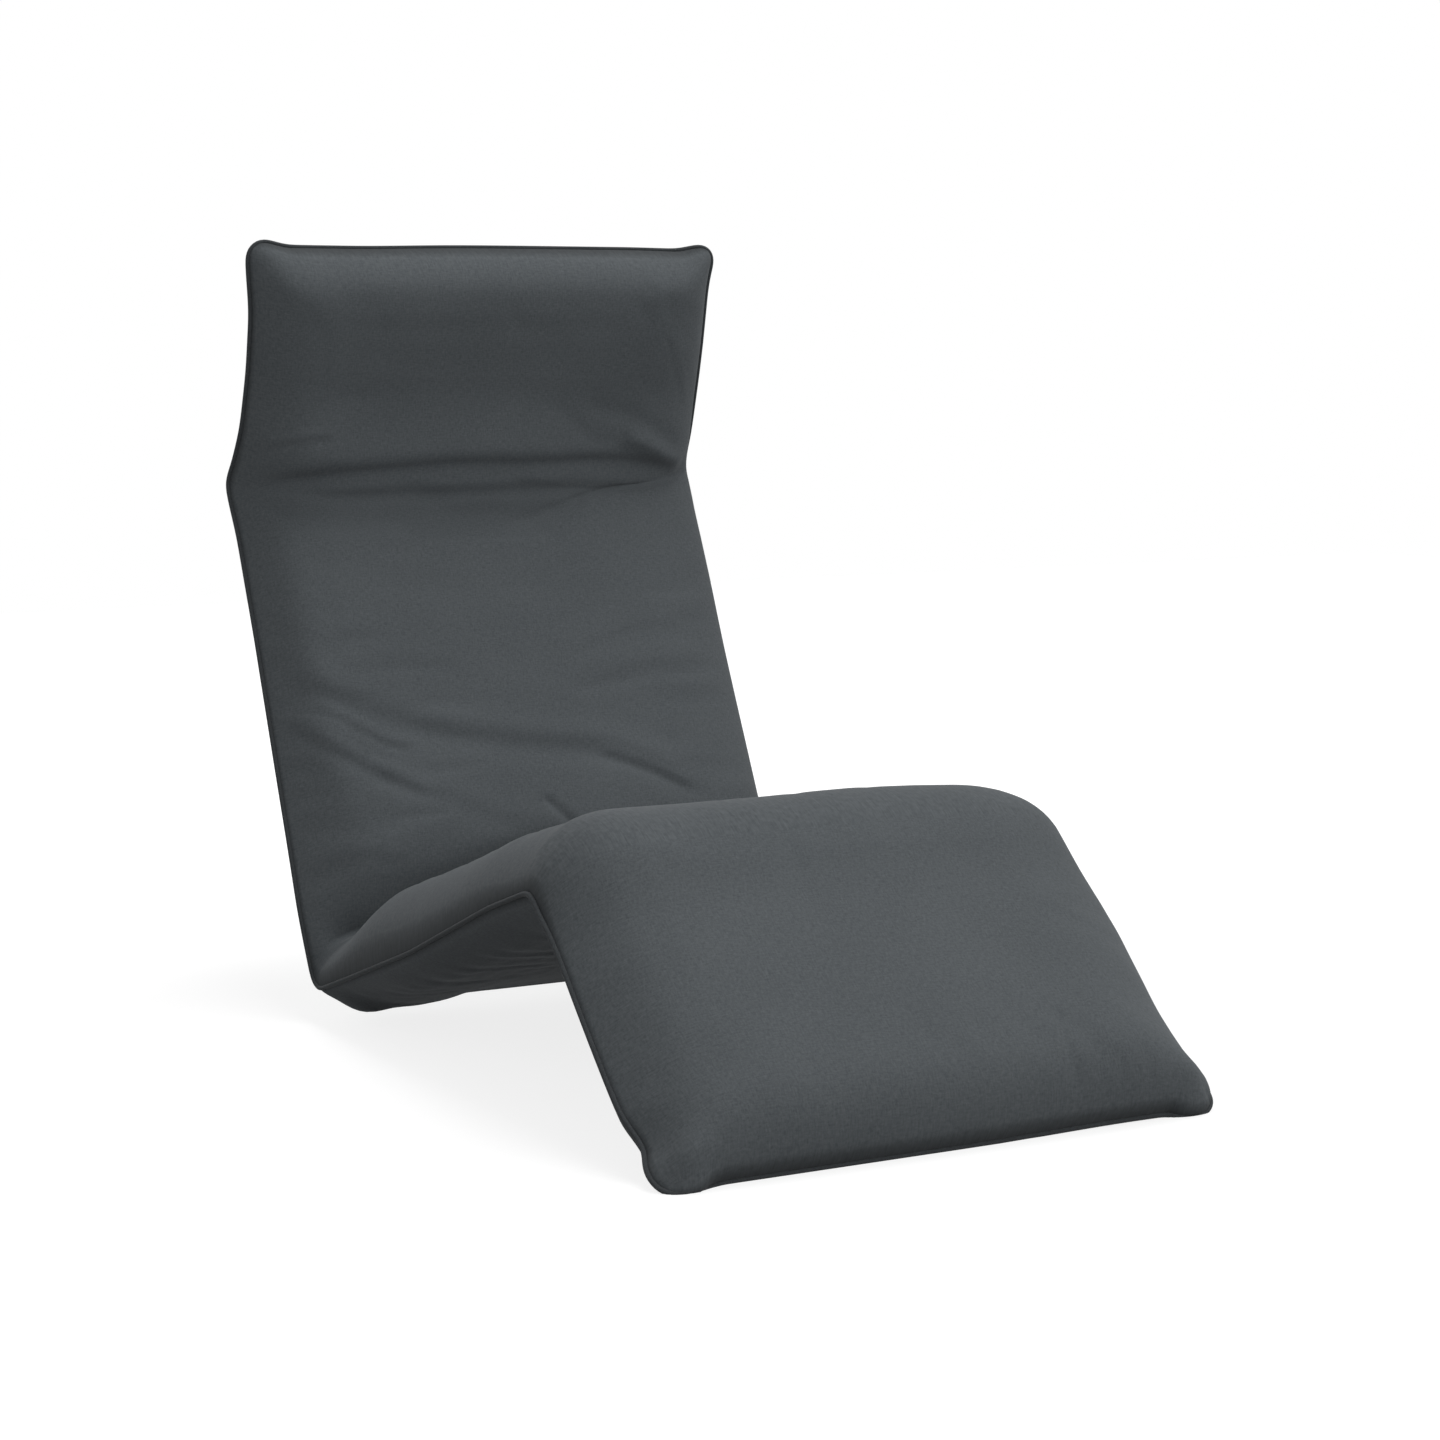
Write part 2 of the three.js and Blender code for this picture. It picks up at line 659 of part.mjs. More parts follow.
// The pawl: a boss on its pin, and a nose that drops between the teeth; here it clears their tips
const noseRadius = tipRadius + gap;
const heelPoint = polar(noseRadius + pawlHeelHeight, noseAngle + toothPitch / 2);

function pawl() {
  const boss = pawlPinRadius + gap + pawlBossWall;
  const bossArc = arc(boss, degrees(75), degrees(290), 9, pin);
  const belly = polar(noseRadius + toothDepth, noseAngle - 1.5 * toothPitch);
  const outline = [...bossArc, heelPoint, polar(noseRadius, noseAngle), belly];
  return plate(outline, pawlThickness)
    .subtract(rodX(pawlPinRadius + gap, 2 * pawlThickness, cordSides, ...pin));
}

// A leaf spring from the housing's web round the boss to the pawl's heel: places on its route as
// shares of the cheek's radius, and their angles
const springRadiusShares = [1.25, 1.27, 1.3, 1.27, 1.16];
const springDegrees = [190, 201, 212.5, 224, 234];

function pawlSpring() {
  const free = springRadiusShares.map((share, i) => polar(share * cheekRadius, degrees(springDegrees[i])));
  const tip = polar(Math.hypot(...heelPoint) + gap + springThickness, noseAngle - toothPitch / 2);
  const route = [...free, tip];
  const offset = (sign) => route.map(([y, z], i) => {
    const [beforeY, beforeZ] = route[Math.max(i - 1, 0)];
    const [afterY, afterZ] = route[Math.min(i + 1, route.length - 1)];
    const length = Math.hypot(afterY - beforeY, afterZ - beforeZ);
    const half = (sign * springThickness) / 2;
    return [y - (half * (afterZ - beforeZ)) / length, z + (half * (afterY - beforeY)) / length];
  });
  return plate([...offset(1), ...offset(-1).reverse()], pawlThickness);
}

const hingePieces = {
  ratchet_wheel: { body: ratchetWheel(), material: zincSteel, onChild: true },
  hinge_housing: { body: hingeHousing(), material: blackTube, onChild: false },
  pivot_rivet: { body: pivotRivet(), material: zincSteel, onChild: false },
  pawl: { body: pawl(), material: zincSteel, onChild: false },
  pawl_spring: { body: pawlSpring(), material: springSteel, onChild: false },
};

// The knee's hinges are the same pieces turned over, so that they close downward
const joints = {
  neck: { fold: folds.neck, parent: 'back', child: 'head', y: backLength, parentWay: -1 },
  hip: { fold: folds.hip, parent: 'seat', child: 'back', y: 0, parentWay: -1 },
  knee: { fold: folds.knee, parent: 'seat', child: 'leg', y: -seatLength, parentWay: 1 },
};

function addHinges(name, { fold, parent, child, y }) {
  for (const [side, x] of [['left', -sideX], ['right', sideX]]) {
    for (const [piece, { body, material, onChild }] of Object.entries(hingePieces)) {
      const mesh = add(`${name}_${piece}_${side}`, onChild ? child : parent, body, material);
      mesh.position.set(x, onChild ? 0 : y, 0);
      mesh.rotation.x = fold.side > 0 ? 0 : Math.PI;
    }
  }
}

for (const [name, section] of Object.entries(sections)) {
  add(`${name}_frame`, name, section.free ? uTube(section) : ladder(section), blackTube);
  add(`${name}_sling`, name, sling(section), slingFabric);
  add(`${name}_foam`, name, foam(name), softFoam);
  add(`${name}_pad`, name, pad(name), softFoam);
  add(`${name}_cover`, name, cover(name), coverFabric);
  if (section.free) {
    add(`${name}_piping`, name, betweenFolds(name, pipingLoop(section)), pipingFabric);
  } else {
    add(`${name}_piping_left`, name, betweenFolds(name, pipingEdge(section, -1)), pipingFabric);
    add(`${name}_piping_right`, name, betweenFolds(name, pipingEdge(section, 1)), pipingFabric);
  }
}

for (const [name, joint] of Object.entries(joints)) {
  addHinges(name, joint);
  const body = foldBody(joint);
  add(`${name}_fold`, joint.parent, name === 'hip' ? aboveFloor('seat', body) : body, coverFabric);
}

// The origin is at the middle of the chair's length and width, on the floor
chair.updateMatrixWorld(true);
const reach = new THREE.Box3().setFromObject(chair, true);
frames.seat.position.y = -(reach.min.y + reach.max.y) / 2;
chair.updateMatrixWorld(true);

export default chair;
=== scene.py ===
"""The looks of the folding floor chair: a padded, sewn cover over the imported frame."""
import json
import math

import bpy
import numpy as np
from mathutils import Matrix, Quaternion, Vector
from mathutils.bvhtree import BVHTree


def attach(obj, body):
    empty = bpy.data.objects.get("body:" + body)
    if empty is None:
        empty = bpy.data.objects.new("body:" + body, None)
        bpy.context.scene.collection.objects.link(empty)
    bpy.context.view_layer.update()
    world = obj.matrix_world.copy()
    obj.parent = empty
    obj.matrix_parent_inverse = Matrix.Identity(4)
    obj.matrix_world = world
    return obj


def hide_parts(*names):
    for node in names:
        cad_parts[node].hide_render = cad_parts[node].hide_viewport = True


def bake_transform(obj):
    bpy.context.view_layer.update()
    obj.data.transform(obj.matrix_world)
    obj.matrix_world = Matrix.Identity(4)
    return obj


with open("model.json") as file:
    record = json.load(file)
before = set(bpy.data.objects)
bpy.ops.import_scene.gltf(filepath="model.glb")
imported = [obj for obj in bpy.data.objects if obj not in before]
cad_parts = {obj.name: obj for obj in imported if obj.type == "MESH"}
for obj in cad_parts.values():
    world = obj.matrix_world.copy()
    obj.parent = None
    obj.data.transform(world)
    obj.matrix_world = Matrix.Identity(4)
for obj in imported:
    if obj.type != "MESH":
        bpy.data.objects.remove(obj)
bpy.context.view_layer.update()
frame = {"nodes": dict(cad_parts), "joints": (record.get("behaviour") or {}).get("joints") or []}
nodes = frame["nodes"]

# The cushion, in metres
WIDTH = 0.560
HEAD_LENGTH = 0.265
LEG_LENGTH = 0.320
CREASE_FULL = 0.058
SIDE_ROUNDING = 0.062
END_ROUNDING = {0: 0.048, 3: 0.065}
SEAM_CORNER = 0.018
CREASE_RADIUS = 0.010
NECK_CREASE_RADIUS = 0.085
EAR_RADIUS = 0.017
LOBE_CENTRE = 0.026
LOBE_RADIUS = (0.0310, 0.0340)
CORD_RADIUS = 0.0023
CORD_STEP = 0.004
COVER_WALL = 0.005
SECTIONS = ("head", "back", "seat", "leg")

# How far head and leg rest are turned at rest
HEAD_TURN = math.radians(42)
LEG_TURN = math.radians(60)

# How finely the cover is made: a step in metres, the steps round an edge and round a bend, the length that
# bends take off a section when its rows are counted, and the samples of a fine curve
STEP = 0.0045
RIM_STEPS = 14
BEND_STEPS = {1: 16, 2: 24, 3: 24}
BEND_ALLOWANCE = 0.03
FINE = 400
TINY = 1e-6


def unit(v):
    return v / np.linalg.norm(v)


def smooth(t):
    t = np.clip(t, 0, 1)
    return t * t * (3 - 2 * t)


def bell(t):
    return np.exp(-(t**2))


def turned(v, angle):
    c, s = math.cos(angle), math.sin(angle)
    return np.array([v[0] * c - v[1] * s, v[0] * s + v[1] * c])


def distances(path):
    """How far along the path each of its points lies."""
    return np.concatenate([[0], np.cumsum(np.linalg.norm(np.diff(path, axis=0), axis=1))])


# The seam's own line in the YZ plane: head end, neck, hip, knee, foot
pivot = {j["name"]: np.array(j["pos_m"][1:]) for j in frame["joints"]}
neck, hip, knee = pivot["neck"], pivot["hip"], pivot["knee"]
head_end = neck + HEAD_LENGTH * turned(unit(neck - hip), HEAD_TURN)
foot_end = knee + LEG_LENGTH * turned(unit(knee - hip), LEG_TURN)
corners = [head_end, neck, hip, knee, foot_end]
travel = [unit(b - a) for a, b in zip(corners, corners[1:])]
normal = [np.array([t[1], -t[0]]) for t in travel]
lengths = [np.linalg.norm(b - a) for a, b in zip(corners, corners[1:])]
starts = np.concatenate([[0], np.cumsum(lengths)])
closes_on_top = {1: 1, 2: 1, 3: -1}


def bend_at(i, before, after):
    """Round corner i between signed heights over the seam on both sides of it: reaches, centres and radii.

    The radius grows with the height, up to CREASE_FULL, and at the seam itself it is SEAM_CORNER."""
    side = closes_on_top[i]
    inward = side * (before + after) / 2
    radius = np.maximum(crease_at(i) * np.clip(inward / CREASE_FULL, 0, 1) ** 2, SEAM_CORNER - inward)
    radius = np.maximum(radius, CREASE_RADIUS)
    m = np.linalg.inv(np.stack([normal[i - 1], normal[i]]))
    off = np.stack([before + side * radius, after + side * radius])
    centre = (m @ off).T
    return -centre @ travel[i - 1], centre @ travel[i], corners[i] + centre, side * radius


def turn_at(i):
    a, b = normal[i - 1], normal[i]
    return math.atan2(a[0] * b[1] - a[1] * b[0], a @ b)


# Rows along the cushion: ("end", section, distance, share), ("run", section, share), ("bend", corner, share)
rows = []
rim = np.linspace(0, math.pi / 2, RIM_STEPS + 1)
for q in rim[:-1]:
    rows.append(("end", 0, END_ROUNDING[0] * (1 - math.cos(q)), math.sin(q)))


def run_shares(i):
    """Shares of section i's length, closer together beside the neck."""
    share = np.linspace(0, 1, FINE)
    close = {0: smooth((share - 0.55) / 0.2), 1: 1 - smooth(share / 0.12)}.get(i, 0 * share)
    clear = lengths[i] - END_ROUNDING.get(i, 0) - BEND_ALLOWANCE
    gone = np.concatenate([[0], np.cumsum(1 + close[1:])]) * clear / (FINE - 1) / STEP
    count = round(gone[-1])
    return np.interp(np.linspace(0, gone[-1], count + 1), gone, share)


for i in range(len(SECTIONS)):
    rows += [("run", i, share) for share in run_shares(i)]
    if i + 1 in BEND_STEPS:
        rows += [("bend", i + 1, k / BEND_STEPS[i + 1]) for k in range(1, BEND_STEPS[i + 1])]
for q in rim[:-1][::-1]:
    rows.append(("end", 3, END_ROUNDING[3] * (1 - math.cos(q)), math.sin(q)))

# Columns across it
half = WIDTH / 2
flat = half - SIDE_ROUNDING
rim_x = half - SIDE_ROUNDING * (1 - np.cos(rim))
middle = np.linspace(-flat, flat, round(2 * flat / STEP) + 1)[1:-1]
across = np.concatenate([-rim_x, middle, rim_x[::-1]])
ROWS, COLUMNS = len(rows), len(across)

# How full each side of each section is: (share of its length, height, left edge, right edge). An edge is
# (width, roundness, ovalness, share of it that is one flat slope).
LOW_EDGE = (0.070, 2.0, 0.15, 0.0)
LOW_WIDE_EDGE = (0.080, 2.0, 0.15, 0.0)
LOW_FOOT_EDGE = (0.062, 2.0, 0.15, 0.0)
HEEL_LEFT_EDGE = (0.120, 1.4, 0.05, 0.0)
HEEL_RIGHT_EDGE = (0.115, 2.0, 0.05, 0.0)
KNEE_LEFT_EDGE = (0.085, 1.7, 0.15, 0.0)
KNEE_RIGHT_EDGE = (0.105, 2.0, 0.42, 0.0)
FULLNESS = {
    1: [
        [
            (0, 0.058, (0.085, 1.4, 0.15, 0.3), (0.090, 1.4, 0.15, 0.3)),
            (0.55, 0.062, (0.085, 1.4, 0.15, 0.3), (0.100, 1.4, 0.15, 0.3)),
            (1, 0.085, (0.100, 1.5, 0.15, 0.3), (0.110, 1.8, 0.15, 0.0)),
        ],
        [
            (0, 0.055, (0.080, 1.4, 0.20, 0.6), (0.110, 2.0, 0.25, 0.0)),
            (0.25, 0.059, (0.072, 1.4, 0.20, 1.0), (0.115, 2.0, 0.27, 0.0)),
            (0.5, 0.060, (0.080, 1.4, 0.20, 1.0), (0.120, 2.0, 0.30, 0.0)),
            (0.82, 0.066, (0.115, 1.4, 0.22, 1.0), (0.120, 2.0, 0.35, 0.0)),
            (1, 0.050, (0.100, 1.8, 0.25, 0.5), (0.110, 2.0, 0.35, 0.0)),
        ],
        [
            (0, 0.056, (0.070, 2.2, 0.15, 0.0), (0.100, 2.0, 0.35, 0.0)),
            (0.25, 0.078, (0.060, 2.4, 0.12, 0.0), (0.100, 2.0, 0.35, 0.0)),
            (0.7, 0.072, (0.068, 2.1, 0.12, 0.0), KNEE_RIGHT_EDGE),
            (1, 0.069, KNEE_LEFT_EDGE, KNEE_RIGHT_EDGE),
        ],
        [
            (0, 0.069, KNEE_LEFT_EDGE, KNEE_RIGHT_EDGE),
            (0.25, 0.060, (0.090, 1.4, 0.30, 0.6), (0.125, 2.0, 0.45, 0.0)),
            (0.6, 0.058, (0.090, 1.4, 0.25, 0.8), (0.085, 2.0, 0.30, 0.0)),
            (1, 0.058, (0.070, 1.6, 0.15, 0.3), (0.070, 2.0, 0.15, 0.0)),
        ],
    ],
    -1: [
        [(0, 0.038, LOW_EDGE, LOW_EDGE), (1, 0.038, LOW_EDGE, LOW_EDGE)],
        [
            (0, 0.038, LOW_EDGE, LOW_EDGE),
            (0.7, 0.038, LOW_WIDE_EDGE, LOW_WIDE_EDGE),
            (1, 0.038, HEEL_LEFT_EDGE, HEEL_RIGHT_EDGE),
        ],
        [
            (0, 0.031, HEEL_LEFT_EDGE, HEEL_RIGHT_EDGE),
            (0.35, 0.034, LOW_WIDE_EDGE, LOW_WIDE_EDGE),
            (1, 0.036, LOW_EDGE, LOW_EDGE),
        ],
        [(0, 0.036, LOW_EDGE, LOW_EDGE), (1, 0.036, LOW_FOOT_EDGE, LOW_FOOT_EDGE)],
    ],
}
SLOPE_SOFTNESS = 0.35

# At its right, the head gets lower towards the neck: by what share of its height, from what share of its
# length on, and from where and over what width across it, in metres
NECK_DROP_SHARE = 0.20
NECK_DROP_START_SHARE = 0.3
NECK_DROP_FROM = 0.04
NECK_DROP_WIDTH = 0.14

# From where the neck's fold gets sharper to the right, and over what width
SHARP_FROM = 0.03
SHARP_WIDTH = 0.12


def eased(share, shares, values):
    """Values at this share, joined without corners."""
    k = int(np.clip(np.searchsorted(shares, share) - 1, 0, len(shares) - 2))
    t = (share - shares[k]) / (shares[k + 1] - shares[k])
    return values[k] + (values[k + 1] - values[k]) * t * t * (3 - 2 * t)


def height_at(side, section, share):
    """The cushion's signed height over its seam for every column, leaving out its ends."""
    shares, heights, *edges = zip(*FULLNESS[side][section])
    height = eased(share, shares, heights)
    left, right = (eased(share, shares, np.array(edge)) for edge in edges)
    width, power, oval, slope = (np.where(across < 0, *pair) for pair in zip(left, right))
    inside = np.clip((half - np.abs(across)) / width, 0, 1)
    rounded = (1 - (1 - inside) ** 2) ** (1 / power)
    past = 1 - (half - np.abs(across)) / (0.5 * width)
    sloped = 1 - (past + np.hypot(past, SLOPE_SOFTNESS)) / (1 + math.hypot(1, SLOPE_SOFTNESS))
    edge = (1 - slope) * rounded + slope * sloped
    if side > 0 and section == 0:
        near_neck = smooth((share - NECK_DROP_START_SHARE) / (1 - NECK_DROP_START_SHARE))
        dropped = smooth((across - NECK_DROP_FROM) / NECK_DROP_WIDTH) * near_neck
        height = height * (1 - NECK_DROP_SHARE * dropped)
    return side * height * ((1 - oval) * edge + oval * np.sqrt(1 - (across / half) ** 2))


def crease_at(i):
    """How softly the cover turns into the fold at corner i, for every column."""
    if i != 1:
        return np.full(COLUMNS, CREASE_RADIUS)
    right = np.clip((across - SHARP_FROM) / SHARP_WIDTH, 0, 1)
    return NECK_CREASE_RADIUS - (NECK_CREASE_RADIUS - CREASE_RADIUS) * smooth(right)


def skin(side):
    """Places, normals and the way along the seam for one side of the cushion."""
    place = np.zeros((ROWS, COLUMNS, 2))
    out = np.zeros((ROWS, COLUMNS, 2))
    way = np.zeros((ROWS, COLUMNS))
    bends = {i: bend_at(i, height_at(side, i - 1, 1), height_at(side, i, 0)) for i in (1, 2, 3)}
    for r, (kind, i, *rest) in enumerate(rows):
        if kind == "end":
            from_start = rest[0] if i == 0 else lengths[3] - rest[0]
            height = height_at(side, i, from_start / lengths[i]) * rest[1]
            place[r] = corners[i] + from_start * travel[i] + height[:, None] * normal[i]
            out[r] = normal[i]
            way[r] = starts[i] + from_start
        elif kind == "run":
            before = np.full(COLUMNS, END_ROUNDING[0]) if i == 0 else bends[i][1]
            after = np.full(COLUMNS, END_ROUNDING[3]) if i == 3 else bends[i + 1][0]
            along = before + rest[0] * (lengths[i] - before - after)
            low_share = END_ROUNDING[0] / lengths[0] if i == 0 else 0
            high_share = 1 - END_ROUNDING[3] / lengths[3] if i == 3 else 1
            height = height_at(side, i, low_share + rest[0] * (high_share - low_share))
            place[r] = corners[i] + along[:, None] * travel[i] + height[:, None] * normal[i]
            out[r] = normal[i]
            way[r] = starts[i] + along
        else:
            before, after, centre, radius = bends[i]
            n = turned(normal[i - 1], turn_at(i) * rest[0])
            place[r] = centre - radius[:, None] * n
            out[r] = n
            way[r] = starts[i] - before + rest[0] * (before + after)
    return place, out, way


def route_distance(x, y, route):
    """Distance of each place from a smooth line through the points, its sign, and how far along it lies."""
    points = smooth_route(route)
    best = np.full(x.shape, 1e9)
    sign = np.ones(x.shape)
    share = np.zeros(x.shape)
    steps = np.linalg.norm(np.diff(points, axis=0), axis=1)
    total, done = steps.sum(), 0.0
    for a, b, step in zip(points, points[1:], steps):
        d = b - a
        t = np.clip(((x - a[0]) * d[0] + (y - a[1]) * d[1]) / (d @ d), 0, 1)
        px, py = x - a[0] - t * d[0], y - a[1] - t * d[1]
        off = np.hypot(px, py)
        near = off < best
        best = np.where(near, off, best)
        sign = np.where(near, np.where(d[0] * py - d[1] * px >= 0, 1.0, -1.0), sign)
        share = np.where(near, (done + t * step) / total, share)
        done += step
    return best, sign, share


def smooth_route(route, steps=6):
    """Points on a smooth curve through the points of a route."""
    p = np.array(route, float)
    if len(p) < 3:
        return p
    p = np.vstack([2 * p[0] - p[1], p, 2 * p[-1] - p[-2]])
    found = []
    for a, b, c, d in zip(p, p[1:], p[2:], p[3:]):
        for t in np.arange(steps) / steps:
            parabola = 2 * b + (c - a) * t + (2 * a - 5 * b + 4 * c - d) * t**2
            found.append(0.5 * (parabola + (3 * b - a - 3 * c + d) * t**3))
    found.append(p[-2])
    return np.array(found)


top_place, top_out, top_way = skin(1)
low_place, low_out, low_way = skin(-1)
X = np.broadcast_to(across, (ROWS, COLUMNS))
TOTAL = starts[-1]

# How far the side seams are drawn in, how much further the right one is, and how far both are pushed
# towards the sitter: (way along the seam in metres, millimetres)
DRAWN_IN = [
    (0, 0.5), (0.03, 2.5), (0.07, 7.5), (0.13, 8.5), (0.20, 7.5), (0.245, 4.5), (0.265, 0), (0.285, 0),
    (0.33, 2.5), (0.45, 2.0), (0.60, -0.5), (0.75, -2.5), (0.84, 0), (1.40, 0), (1.52, -2.0),
    (1.60, -2.0), (1.672, -0.5), (1.715, 0),
]
RIGHT_IN = [
    (0, 0), (0.035, 5.0), (0.07, 1.5), (0.11, 0), (0.26, 0), (0.34, -2.5), (0.42, -2.0), (0.50, 0),
    (0.65, 1.5), (0.75, 2.5), (0.90, 0), (1.28, 0), (1.35, 4.0), (1.39, 8.0), (1.43, 7.5), (1.48, 3.5),
    (1.52, 1.5), (1.60, 4.5), (1.672, 3.0), (1.715, 0),
]
PUSHED = [
    (0, 6), (0.07, 15), (0.14, 18), (0.20, 16), (0.265, 3), (0.835, 0), (0.93, -2.0), (1.10, -4.5),
    (1.30, 3.0), (1.395, 0), (1.48, -1.0), (1.56, -7.0), (1.62, -10.5), (1.66, -10.0), (1.715, 0),
]


def run_through(way, line):
    """Smooth curve through (way, millimetres) pairs."""
    fine = np.linspace(0, TOTAL, FINE)
    level = np.interp(fine, *zip(*line))
    kernel = np.hanning(13)
    level = np.convolve(np.pad(level, len(kernel) // 2, mode="edge"), kernel / kernel.sum(), "valid")
    return np.interp(way, fine, level) / 1000


# The head end, which is drawn in between its ears, in metres
HEAD_END_IN = 0.0055
HEAD_END_OUT = 0.003
EAR_CURVE_START = 0.015
EAR_CURVE_SPAN = 0.035
HEAD_DIP = 0.0025
HEAD_DIP_X = -0.16
HEAD_DIP_REACH = 0.09
HEAD_END_REACH = 0.1

# The foot end, longer at its left corner and drawn in just above it, in metres
FOOT_CORNER_OUT = 0.008
FOOT_CORNER_SIDE = 0.001
FOOT_CORNER_START = 0.015
FOOT_CORNER_SPAN = 0.045
FOOT_WAIST_IN = 0.005
FOOT_WAIST_WAY = 0.050
FOOT_WAIST_REACH = 0.035
FOOT_END_IN = 0.002
FOOT_SKEW = 0.003
FOOT_SKEW_SPAN = 0.2
FOOT_END_REACH = 0.12


def head_ears(x, way):
    """How far the head's corners move across the cushion and along it."""
    u = half - np.abs(x)
    a = np.clip(1 - u / EAR_RADIUS, 0, 1)
    b = np.clip(1 - way / EAR_RADIUS, 0, 1)
    across_in = EAR_RADIUS * a * (1 - np.sqrt(1 - b * b / 2))
    end_in = HEAD_END_IN * smooth((u - EAR_CURVE_START) / EAR_CURVE_SPAN) - HEAD_END_OUT
    end_in = end_in + HEAD_DIP * bell((x - HEAD_DIP_X) / HEAD_DIP_REACH)
    end_in = end_in * (1 - smooth(way / HEAD_END_REACH))
    return across_in, EAR_RADIUS * b * (1 - np.sqrt(1 - a * a / 2)) + end_in


def foot_lobes(x, way):
    """How far the foot's corners move across the cushion and along it: each is a round lobe."""
    u, v = half - np.abs(x), TOTAL - way
    du, dv = LOBE_CENTRE - u, LOBE_CENTRE - v
    deep = np.maximum(np.maximum(du, dv) / LOBE_CENTRE, TINY)
    edge = np.where(x < 0, *LOBE_RADIUS) - np.hypot(du, dv) / deep
    grow = np.where((du > 0) & (dv > 0), edge, np.maximum(edge, 0))
    grow = np.where(deep > 10 * TINY, grow * deep**2, 0) / np.maximum(np.hypot(du, dv), TINY)
    corner = np.where(x < 0, 1 - smooth((np.hypot(u, v) - FOOT_CORNER_START) / FOOT_CORNER_SPAN), 0)
    waist = np.where(x < 0, 1 - smooth(np.hypot(u, v - FOOT_WAIST_WAY) / FOOT_WAIST_REACH), 0)
    end_in = (FOOT_END_IN - FOOT_SKEW * smooth(x / FOOT_SKEW_SPAN)) * (1 - smooth(v / FOOT_END_REACH))
    across_in = FOOT_WAIST_IN * waist + FOOT_CORNER_SIDE * corner - grow * du
    return across_in, grow * dv + FOOT_CORNER_OUT * corner + end_in


def ears(x, way):
    """Plan view: free corners rounded to ears, and the edges drawn in between them."""
    head_in, head_shift = head_ears(x, way)
    foot_in, foot_shift = foot_lobes(x, way)
    drawn = run_through(way, DRAWN_IN) + np.where(x > 0, run_through(way, RIGHT_IN), 0)
    share_out = 1 - drawn / half
    return np.sign(x) * (np.abs(x) - head_in - foot_in) * share_out, head_shift + foot_shift


